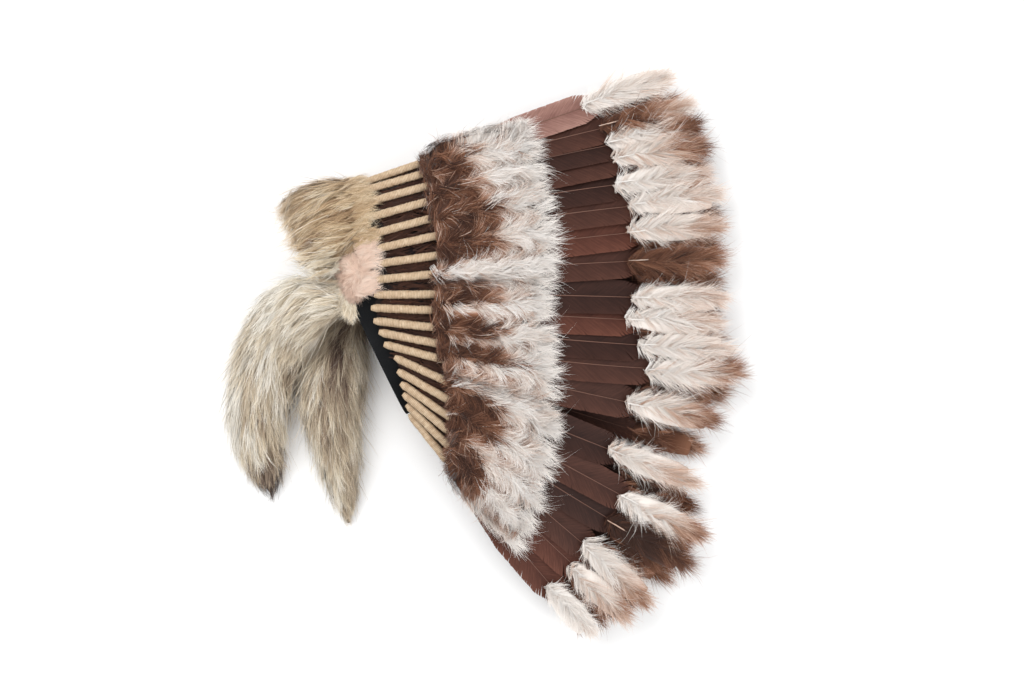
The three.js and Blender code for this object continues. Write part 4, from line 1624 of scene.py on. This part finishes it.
@dataclass
class TipPlumes(PilePiece):
    """Down at the feathers' tips: each plume's barbs spread from its own shaft."""

    fan: Fan = None
    run: tuple[int, int] = (0, 0)
    half_width: float = 26 * MM
    height: float = 13.5 * MM
    thickness: float = 5 * MM
    layers: tuple = ((-0.12, -3.5), (0.16, 3.5))
    steps: int = 33
    fluffs: int = 13  # tufts of fluff a feather
    fluff_reach: tuple = (4, 72)  # from the plume's foot, in millimetres
    barbed: float = 0.82
    longest_barb: float = 0.6
    sway: float = 3 * MM

    def tones(self, i: int) -> tuple[float, float]:
        """Tell the tones of one plume's body and tip.

        Args:
            i: Which feather.

        Returns:
            The two tones.
        """
        if self.fan.side is Side.TOP:
            return PLUME_TONES[i]
        body = 0.1 + 0.14 * (math.sin(i * 2.3) * 0.5 + 0.5)
        return body, body + 0.26

    def bodies(self, form: Form) -> list[Patch]:
        """Make each plume's soft middle. Args and Returns are as in PilePiece."""
        return [self.middle(i) for i in range(self.run[0], self.run[1] + 1)]

    def rise(self, share: Array) -> Array:
        """Tell how high a plume lies along its length, low at its foot on the vane."""
        return 0.35 + 0.65 * smooth(-0.05, 0.3, share)

    def middle(self, i: int) -> Patch:
        """Make one plume's soft middle.

        Args:
            i: Which feather.

        Returns:
            The patch.
        """
        t, angle = np.linspace(0.06, 0.8, 13), np.linspace(0, 2 * np.pi, 11)[:, None]
        s = self.fan.length[i] - PLUME_FOOT + t * PLUME_LENGTH * self.fan.plume[i]
        point, _, across, out = self.fan.axes(i, s)
        wide = self.half_width * 0.55 * np.sqrt(bump(t))
        thick = self.thickness * np.sqrt(bump(t))
        point = point + out * (self.height * self.rise(t) - 2 * MM)[:, None]
        ring = point[None] + across[None] * (wide * np.cos(angle))[..., None]
        ring = ring + out[None] * (thick * np.sin(angle))[..., None]
        body, end = self.tones(i)
        # The middle is drawn darker than the plume round it: painted shade inside the plume
        tone = np.clip(body + (end - body) * smooth(0.45, 0.9, t) - 0.1, 0.03, 0.97)
        u = np.broadcast_to(0.05 + 0.1 * (np.cos(angle) + 1), ring.shape[:2])
        atlas = np.stack([u, np.broadcast_to(tone, u.shape)], axis=-1)
        return grid_patch(ring, atlas, flip=self.fan.side is Side.TOP)

    def fluff(self, rng: np.random.Generator) -> Patch:
        """Grow the brown fluff that joins the plumes' feet.

        Args:
            rng: Seeded random numbers.

        Returns:
            The patch of strands.
        """
        count = self.fluffs * (self.run[1] - self.run[0] + 1)
        place = np.round(rng.uniform(self.run[0] - 1, self.run[1], count)) + 0.5
        place = np.clip(place + rng.normal(0, 0.13, count), -0.2, self.fan.count - 0.8)
        reach = rng.uniform(*self.fluff_reach, count)
        s = self.fan.length_at(place) - PLUME_FOOT + reach * MM
        point, along, across, out = self.fan.axes(place, s)
        lean = rng.normal(0, 0.4, count)
        direction = unit(along + across * lean[:, None])
        rounded = bump(0.2 + 0.6 * reach / self.fluff_reach[1])
        high = rng.uniform(0.35, 0.95, count) * self.height * rounded
        root = point + out * high[:, None]
        tone = rng.uniform(0.02, 0.26, count)
        size = rng.uniform(0.6, 0.95, count)
        return strands(rng, self.style, root, direction, out, size, tone, tone + 0.22)

    def grow(self, rng: np.random.Generator, form: Form) -> list[Patch]:
        """Grow each plume of the run. Args and Returns are as in PilePiece."""
        made = [self.fluff(rng)]
        for i in range(self.run[0], self.run[1] + 1):
            for tilt, level in self.layers:
                made.append(self.barbs(rng, i, tilt, level * MM))
            made.append(self.shaft(rng, i))
        return made

    def barbs(self, rng: np.random.Generator, i: int, tilt: float, level: float) -> Patch:
        """Grow one layer of a plume's barbs.

        Args:
            rng: Seeded random numbers.
            i: Which feather.
            tilt: How far the barbs rise, as a slope.
            level: Height over the plume's middle.

        Returns:
            The patch of strands.
        """
        long = PLUME_LENGTH * self.fan.plume[i]
        steps = self.steps
        t = np.tile((np.arange(steps) + rng.uniform(0, 1, steps)) / steps, 2)
        hand = np.repeat([-1.0, 1.0], steps)
        share = t**1.15 * self.barbed
        s = self.fan.length[i] - PLUME_FOOT + share * long
        point, along, across, out = self.fan.axes(i, s)
        sway = np.sin(share * 2.6 + i * 1.9) * self.sway + rng.normal(0, 2, len(s)) * MM
        point = point + across * sway[:, None]
        angle = np.radians(62 - 40 * t**0.7) * rng.uniform(0.55, 1.2, len(s))
        angle = np.clip(angle, 0.16, 1.2)
        direction = along * np.cos(angle)[:, None] + across * (hand * np.sin(angle))[:, None]
        rise = tilt + rng.normal(0, 0.16, len(s))
        direction = unit(direction + out * rise[:, None])
        broad = self.half_width * self.fan.plume[i] * (1 + 0.14 * math.sin(i * 4.7))
        reach = long * (1.05 + 0.06 * math.sin(i * 3.1))
        # Barbs end on the plume's oval outline
        before, half = share * long - 0.5 * reach, 0.52 * reach
        flat = (np.cos(angle) / half) ** 2 + (np.sin(angle) / broad) ** 2
        lean = before * np.cos(angle) / half**2
        spare = 1 - (before / half) ** 2
        length = (np.sqrt(lean**2 + flat * np.maximum(spare, 0.02)) - lean) / flat
        length = np.minimum(length, self.longest_barb * long) * rng.uniform(0.78, 1.1, len(s))
        body, end = self.tones(i)
        far = smooth(0.35, 0.95, t)
        root = body + (end - body) * far * 0.75 - 0.12
        tip = body + (end - body) * smooth(0.2, 0.75, t + rng.normal(0, 0.12, len(s)))
        jitter = rng.normal(-0.02, 0.08, len(s))
        lift = self.height * self.rise(share) + level * bump(0.15 + 0.75 * share)
        root_at = point + out * np.maximum(lift, 2.5 * MM)[:, None]
        turn = np.sign(np.sum(np.cross(out, direction) * along, axis=1))
        turn = turn * rng.uniform(0.05, 0.3, len(s))
        scale = length / self.style.length
        return strands(
            rng, self.style, root_at, direction, out, scale, root + jitter, tip + jitter, turn
        )

    def shaft(self, rng: np.random.Generator, i: int) -> Patch:
        """Grow the plume's own pale shaft, a few close strands.

        Args:
            rng: Seeded random numbers.
            i: Which feather.

        Returns:
            The patch of strands.
        """
        s = np.array([self.fan.length[i] - PLUME_FOOT + 5 * MM])
        point, along, _, out = self.fan.axes(i, s)
        top = self.height + 4 * MM if self.fan.side is Side.TOP else 4 * MM
        slope = unit(along + out * 0.06)
        tone = np.array([0.95 if self.tones(i)[0] > 0.5 else 0.6])
        root = point + out * top * 0.7
        return strands(rng, PLUME_SHAFT, root, slope, out, np.ones(1), tone, tone)


# The pale fluff where a tail hangs from the temple
ROOT_FLUFF = LockStyle(20, 19 * MM, 3.4 * MM, 0.45 * MM, 0.3, 0.3, gather=0.3, fray=0.2, back=0.05)


@dataclass
class FurTail(PilePiece):
    """A fur tail: long guard hairs that lie towards its tip."""

    line: tuple = ()
    body: float = 0.84
    grey: float = 0.0
    tip_dark: float = 0.72
    root_locks: int = 0
    half_width: float = 35 * MM
    steps: int = 120

    def flow(self, points: Array, normals: Array) -> Flow:
        """Say how the fur lies. Args and Returns are as in PilePiece."""
        temple = from_cap(0.0, -PATCH_OVERHANG, 0.0)
        right, back = column(self.line, 0), column(self.line, 1)
        ends = np.arange(len(right))
        fine = np.linspace(0, len(right) - 1, self.steps)
        x = temple[0] + np.interp(fine, ends, right) * TAIL_LENGTH
        y = temple[1] - np.interp(fine, ends, back) * TAIL_LENGTH
        middle = np.stack([x, y], axis=1)
        gap = points[:, None, :2] - middle[None]
        near = np.argmin(np.sum(gap**2, axis=-1), axis=1)
        run = unit(np.gradient(middle, axis=0))[near]
        off = points[:, :2] - middle[near]
        direction = np.concatenate([run, np.zeros((len(points), 1))], axis=1)
        direction[:, :2] += off * 9
        share = near / (self.steps - 1)
        side = np.sum(off * np.stack([run[:, 1], -run[:, 0]], axis=1), axis=1)
        side = side / self.half_width
        streak = np.sin(side * 7 + share * 5) * np.sin(side * 3 - share * 11 + 1)
        mottle = np.sin(points[:, 0] * 260 + points[:, 2] * 190) * np.sin(points[:, 1] * 230)
        body = self.body + 0.2 * streak + 0.12 * mottle + 0.14 * side
        body = body - self.grey * smooth(0.75, 0.3, share) * smooth(0.9, -0.1, np.abs(side))
        body = body - self.tip_dark * smooth(0.74, 0.96, share)
        scale = 0.8 + 0.35 * bump(share)
        return direction, scale, body - 0.14, body + 0.12

    def grow(self, rng: np.random.Generator, form: Form) -> list[Patch]:
        """Grow the fur and the pale fluff at its root. Args and Returns are as in PilePiece."""
        made = super().grow(rng, form)
        if self.root_locks:
            count = self.root_locks
            share = rng.uniform(0, 1, count)
            root = dome_point(np.radians(74 + 17 * share), rng.uniform(-8, 3, count) * MM, 3 * MM)
            angle = np.radians(-145 + 62 * share + rng.normal(0, 12, count))
            direction = np.stack([np.cos(angle), np.sin(angle), -0.25 + 0 * angle], axis=1)
            out = np.tile([0.0, 0.0, 1.0], (count, 1))
            tone = 0.84 + rng.normal(0, 0.06, count)
            even = np.ones(count)
            made.append(strands(rng, ROOT_FLUFF, root, direction, out, even, tone - 0.1, tone))
        return made


def collar(
    rng: np.random.Generator,
    style: LockStyle,
    turns: tuple[float, float],
    rises: tuple[float, float],
    count: int,
    tone: float,
    height: float = 10 * MM,
    lean: float = 0.0,
) -> Patch:
    """Grow short fur on the cap, combed towards its crown.

    Args:
        rng: Seeded random numbers.
        style: How the strands lie.
        turns: Where it starts and ends round the cap, in degrees.
        rises: Where it starts and ends from the quills' feet, in millimetres.
        count: Number of locks.
        tone: Their tone.
        height: Height of the roots over the cap.
        lean: How much they lean towards the nape.

    Returns:
        The patch of strands.
    """
    turn = np.radians(rng.uniform(*turns, count))
    rise = foot_rise(turn) - BROW_CLEAR + rng.uniform(*rises, count) * MM
    root = dome_point(turn, rise, height)
    ahead = unit(dome_point(turn, rise + MM, height) - root)
    out = unit(dome_point(turn, rise, height + 3 * MM) - root)
    side = np.cross(ahead, out)
    slant = lean + rng.normal(0, 0.35, count)
    direction = unit(ahead + side * slant[:, None] + out * 0.2)
    mottle = tone + rng.normal(0, 0.08, count)
    return strands(rng, style, root, direction, out, np.ones(count), mottle - 0.12, mottle + 0.1)


# The upper edges of the brow band and of the patches
BROW_EDGE = LockStyle(20, 21 * MM, 3 * MM, 0.45 * MM, 0.2, 0.4, gather=0.2, fray=0.22, back=0.1)
PATCH_EDGE = LockStyle(20, 17 * MM, 3 * MM, 0.45 * MM, 0.15, 0.4, gather=0.1, fray=0.25, back=0.1)


@dataclass
class BrowFur(PilePiece):
    """The fur band over the brow, combed out over the rim."""

    def grow(self, rng: np.random.Generator, form: Form) -> list[Patch]:
        """Grow the band and its upper edge. Args and Returns are as in PilePiece."""
        edge = collar(rng, BROW_EDGE, (6, 64), (-14, 2), 150, 0.6)
        seam = collar(rng, BROW_EDGE, (56, 66), (-60, -8), 60, 0.5, 4 * MM, -1.2)
        return [*super().grow(rng, form), edge, seam]

    def flow(self, points: Array, normals: Array) -> Flow:
        """Say how the fur lies. Args and Returns are as in PilePiece."""
        cos, sin = math.cos(CROWN_TURN), math.sin(CROWN_TURN)
        local = points[:, :2] - np.array([RIM_X, RIM_Y])
        rise = local[:, 0] * cos + local[:, 1] * sin
        along = local[:, 0] * sin - local[:, 1] * cos
        direction = np.tile([-cos, -sin, 0.0], (len(points), 1))
        swirl = np.sin(along * 95 + rise * 40) * 0.2 + np.sin(along * 41) * 0.25
        direction += np.stack([sin * swirl, -cos * swirl, 0 * swirl], axis=1)
        turn = np.clip(np.arccos(np.clip(-along / CAP_HALF_LENGTH, -1, 1)), 0, 1)
        brim = smooth(-24 * MM, -6 * MM, rise - (foot_rise(turn) - BROW_CLEAR))
        direction = direction * (1 - 1.9 * brim)[:, None] + normals * (0.4 * brim)[:, None]
        # Painted light and shade: the fur is drawn lighter on its ridges and darker between them,
        # and darker along a crease
        ridge = np.sin(along * 150 + np.sin(rise * 120) * 1.4) * 0.5 + 0.5
        pale = smooth(-0.08, -0.045, along) * smooth(0.04, 0.0, rise)
        crease = np.exp(-(((rise - 0.012 - 0.25 * (along + 0.06)) / 0.006) ** 2))
        body = 0.52 + 0.2 * ridge + 0.42 * pale - 0.2 * crease * smooth(-0.1, -0.07, along)
        scale = 0.85 + 0.3 * smooth(0.03, -0.02, rise) - 0.35 * brim
        return direction, scale, body - 0.16, body + 0.12


@dataclass
class TemplePatch(PilePiece):
    """A rounded pad of short pale fur at one temple."""

    upper: bool = True

    def grow(self, rng: np.random.Generator, form: Form) -> list[Patch]:
        """Grow the pad and its upper edge. Args and Returns are as in PilePiece."""
        made = super().grow(rng, form)
        if self.upper:
            made.append(collar(rng, PATCH_EDGE, (62, 88), (-14, 3), 80, 0.72))
        return made

    def flow(self, points: Array, normals: Array) -> Flow:
        """Say how the pile lies. Args and Returns are as in PilePiece."""
        swirl = np.sin(points[:, 0] * 300) * 0.6
        direction = np.stack([-0.8 + 0 * swirl, -0.5 + swirl, 0 * swirl], axis=1)
        mottle = 0.55 + 0.12 * np.sin(points[:, 0] * 210 + points[:, 1] * 150)
        middle = points.mean(axis=0)
        direction = direction * 0.4 + unit(points - middle) * 0.9
        return direction, np.ones(len(points)), mottle - 0.1, mottle + 0.2


# Studio


@dataclass
class Studio:
    """The camera, the soft light and the pale floor."""

    camera_place: tuple = (0.0305, 0.0098, 1.85)
    lens: float = 57.53
    sensor: float = 36.0
    view_range: tuple = (0.05, 30.0)
    world_light: float = 0.82
    floor_half: float = 6.0

    def build(self) -> None:
        """Make the whole studio."""
        scene = bpy.context.scene
        data = bpy.data.cameras.new("camera")
        data.lens, data.sensor_width = self.lens, self.sensor
        data.clip_start, data.clip_end = self.view_range
        camera = bpy.data.objects.new("camera", data)
        camera.location = self.camera_place
        scene.collection.objects.link(camera)
        scene.camera = camera
        self.floor()
        self.lamp("key", (-0.9, 0.9, 1.7), 1.6, 28.0)
        self.lamp("fill", (1.3, -0.6, 1.6), 2.0, 16.0)
        world = bpy.data.worlds.new("studio")
        world.use_nodes = True
        background = world.node_tree.nodes["Background"]
        background.inputs["Color"].default_value = (1, 1, 1, 1)
        background.inputs["Strength"].default_value = self.world_light
        scene.world = world
        scene.view_settings.view_transform = "Standard"

    def lamp(self, name: str, place: tuple, size: float, power: float) -> None:
        """Add one soft lamp that looks at the middle of the object.

        Args:
            name: Its name.
            place: Where it hangs.
            size: Its width.
            power: Its strength in watts.
        """
        data = bpy.data.lights.new(name, "AREA")
        data.shape, data.size, data.energy = "DISK", size, power
        lamp = bpy.data.objects.new(name, data)
        lamp.location = place
        lamp.rotation_euler = (-Vector(place)).to_track_quat("-Z", "Y").to_euler()
        bpy.context.scene.collection.objects.link(lamp)

    def floor(self) -> None:
        """Add the plain pale floor."""
        mesh = bpy.data.meshes.new("floor")
        half = self.floor_half
        corners = [(-half, -half, 0), (half, -half, 0), (half, half, 0), (-half, half, 0)]
        mesh.from_pydata(corners, [], [(0, 1, 2, 3)])
        make = Shader("floor")
        noise = make.node("ShaderNodeTexNoise", {"Scale": 3.0}).outputs["Fac"]
        hue = make.ramp(noise, (0.0, (0.93, 0.93, 0.93)), (1.0, (0.96, 0.96, 0.96)))
        make.put(make.surface, {"Base Color": hue, "Roughness": 0.9})
        mesh.materials.append(make.material)
        floor = bpy.data.objects.new("floor", mesh)
        bpy.context.scene.collection.objects.link(floor)


# Locks of the foot down above and below, of the plumes above and below, of long fur and of
# the temple patches
FINE = LockStyle(
    27, 27 * MM, 5 * MM, 0.45 * MM, 0.5, 0.38, gather=0.25, fray=0.24, curl=0.2, pale=0.05
)
THIN = LockStyle(
    15, 27 * MM, 5 * MM, 0.75 * MM, 0.45, 0.36, gather=0.25, fray=0.26, curl=0.2, joints=3
)
SILKY = LockStyle(
    14, 27 * MM, 1.7 * MM, 0.42 * MM, 0.12, 0.2, gather=-0.9, fray=0.17, curl=0.1, back=0.0
)
FLAT = LockStyle(
    8, 27 * MM, 2.2 * MM, 0.7 * MM, 0.05, 0.06, gather=-0.6, fray=0.16, curl=0.1, joints=3, back=0.0
)
HAIRS = LockStyle(
    22, 33 * MM, 3.6 * MM, 0.48 * MM, 0.46, 0.26, gather=0.7, fray=0.12, pale=0.06, stray=0.09
)
SHORT = LockStyle(
    14, 9 * MM, 2.4 * MM, 0.4 * MM, 0.6, 0.3, gather=0.1, fray=0.3, joints=3, back=0.4
)

# Runs of feathers that one piece of down or plumes covers. With the upper down, the number
# of its locks
DOWN_RUNS = ((790, (0, 7)), (500, (8, 12)), (570, (13, 18)))
PLUME_RUNS = ((0, 3), (4, 7), (8, 12), (13, 15), (16, 18))
UNDER_PLUME_RUNS = ((0, 5), (6, 11), (12, 17))


def main() -> None:
    """Build the headdress and the studio."""
    logging.basicConfig(level=logging.INFO)
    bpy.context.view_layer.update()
    Studio().build()
    top, under = Fan(Side.TOP), Fan(Side.UNDER)
    vanes = [
        # The pink vane finish is painted sheen; the dark one is partly painted shade
        VaneFinish("vane_pink", (0.17, 0.08, 0.066), (0.46, 0.27, 0.22)).material(),
        VaneFinish("vane_red", (0.055, 0.018, 0.012), (0.18, 0.068, 0.045)).material(),
        VaneFinish("vane_brown", (0.036, 0.014, 0.01), (0.12, 0.049, 0.034)).material(),
        VaneFinish("vane_dark", (0.02, 0.008, 0.006), (0.07, 0.029, 0.021)).material(),
    ]
    shaft, twine = ShaftFinish().material(), TwineFinish().material()
    # Near-black: the under layer's colour is dark feathers and painted shade in the gaps between
    # the quills
    layer = VaneFinish("under_layer", (0.006, 0.003, 0.003), (0.028, 0.012, 0.011)).material()
    down = PileFinish("down", DOWN_STOPS, root=0.8, tip=1.08).material()
    tan = PileFinish("tan_fur", TAN_STOPS, root=0.78, tip=1.08).material()
    grey = PileFinish("grey_fur", GREY_STOPS, root=0.86, tip=1.1).material()
    pink = PileFinish("pink_fur", PINK_STOPS, root=0.85, tip=1.02).material()
    made = [FeltCap().build()]
    made += [UnderFeathers(side, layer).build() for side in Side]
    made += Feathers(top, vanes, shaft, twine).build()
    made += Feathers(under, vanes, shaft, twine, barbs=44, facets=8).build()
    for k, (locks, run) in enumerate(DOWN_RUNS):
        piece = (f"foot_down_top_{k + 1:02d}", down, "brown_down", FINE, locks, 11 + k)
        made.append(FootDown(*piece, fan=top, run=run).build())
    for k in range(3):
        piece = (f"foot_down_under_{k + 1:02d}", down, "brown_down", THIN, 300, 21 + k)
        made.append(FootDown(*piece, fan=under).build())
    for k, run in enumerate(PLUME_RUNS):
        piece = (f"tip_plumes_top_{k + 1:02d}", down, "white_down", SILKY, 0, 41 + k)
        made.append(TipPlumes(*piece, fan=top, run=run).build())
    low = {"half_width": 25 * MM, "height": 9 * MM, "layers": ((-0.1, 0.0), (0.1, 5.0))}
    for k, run in enumerate(UNDER_PLUME_RUNS):
        piece = (f"tip_plumes_under_{k + 1:02d}", down, "white_down", FLAT, 0, 51 + k)
        made.append(TipPlumes(*piece, fan=under, run=run, **low).build())
    fur = (grey, "grey_fur", HAIRS)
    tail = FurTail("fur_tail_top", *fur, 630, 61, line=TAIL_TOP_LINE, root_locks=60)
    made.append(tail.build())
    tones = {"body": 0.72, "grey": 0.42, "tip_dark": 0.14}
    tail = FurTail("fur_tail_under", *fur, 520, 62, line=TAIL_UNDER_LINE, **tones)
    made.append(tail.build())
    made.append(BrowFur("brow_fur", tan, "tan_fur", HAIRS, 640, 71).build())
    for side in Side:
        piece = (f"temple_patch_{side.name.lower()}", pink, "pink_fur", SHORT, 420, 81)
        made.append(TemplePatch(*piece, 2 * MM, 2 * MM, upper=side is Side.TOP).build())
    total = 0
    for piece in made:
        count = len(piece.data.polygons)
        total += count
        LOG.info("%s: %d triangles", piece.name, count)
    LOG.info("total: %d triangles", total)


if __name__ == "__main__":
    main()
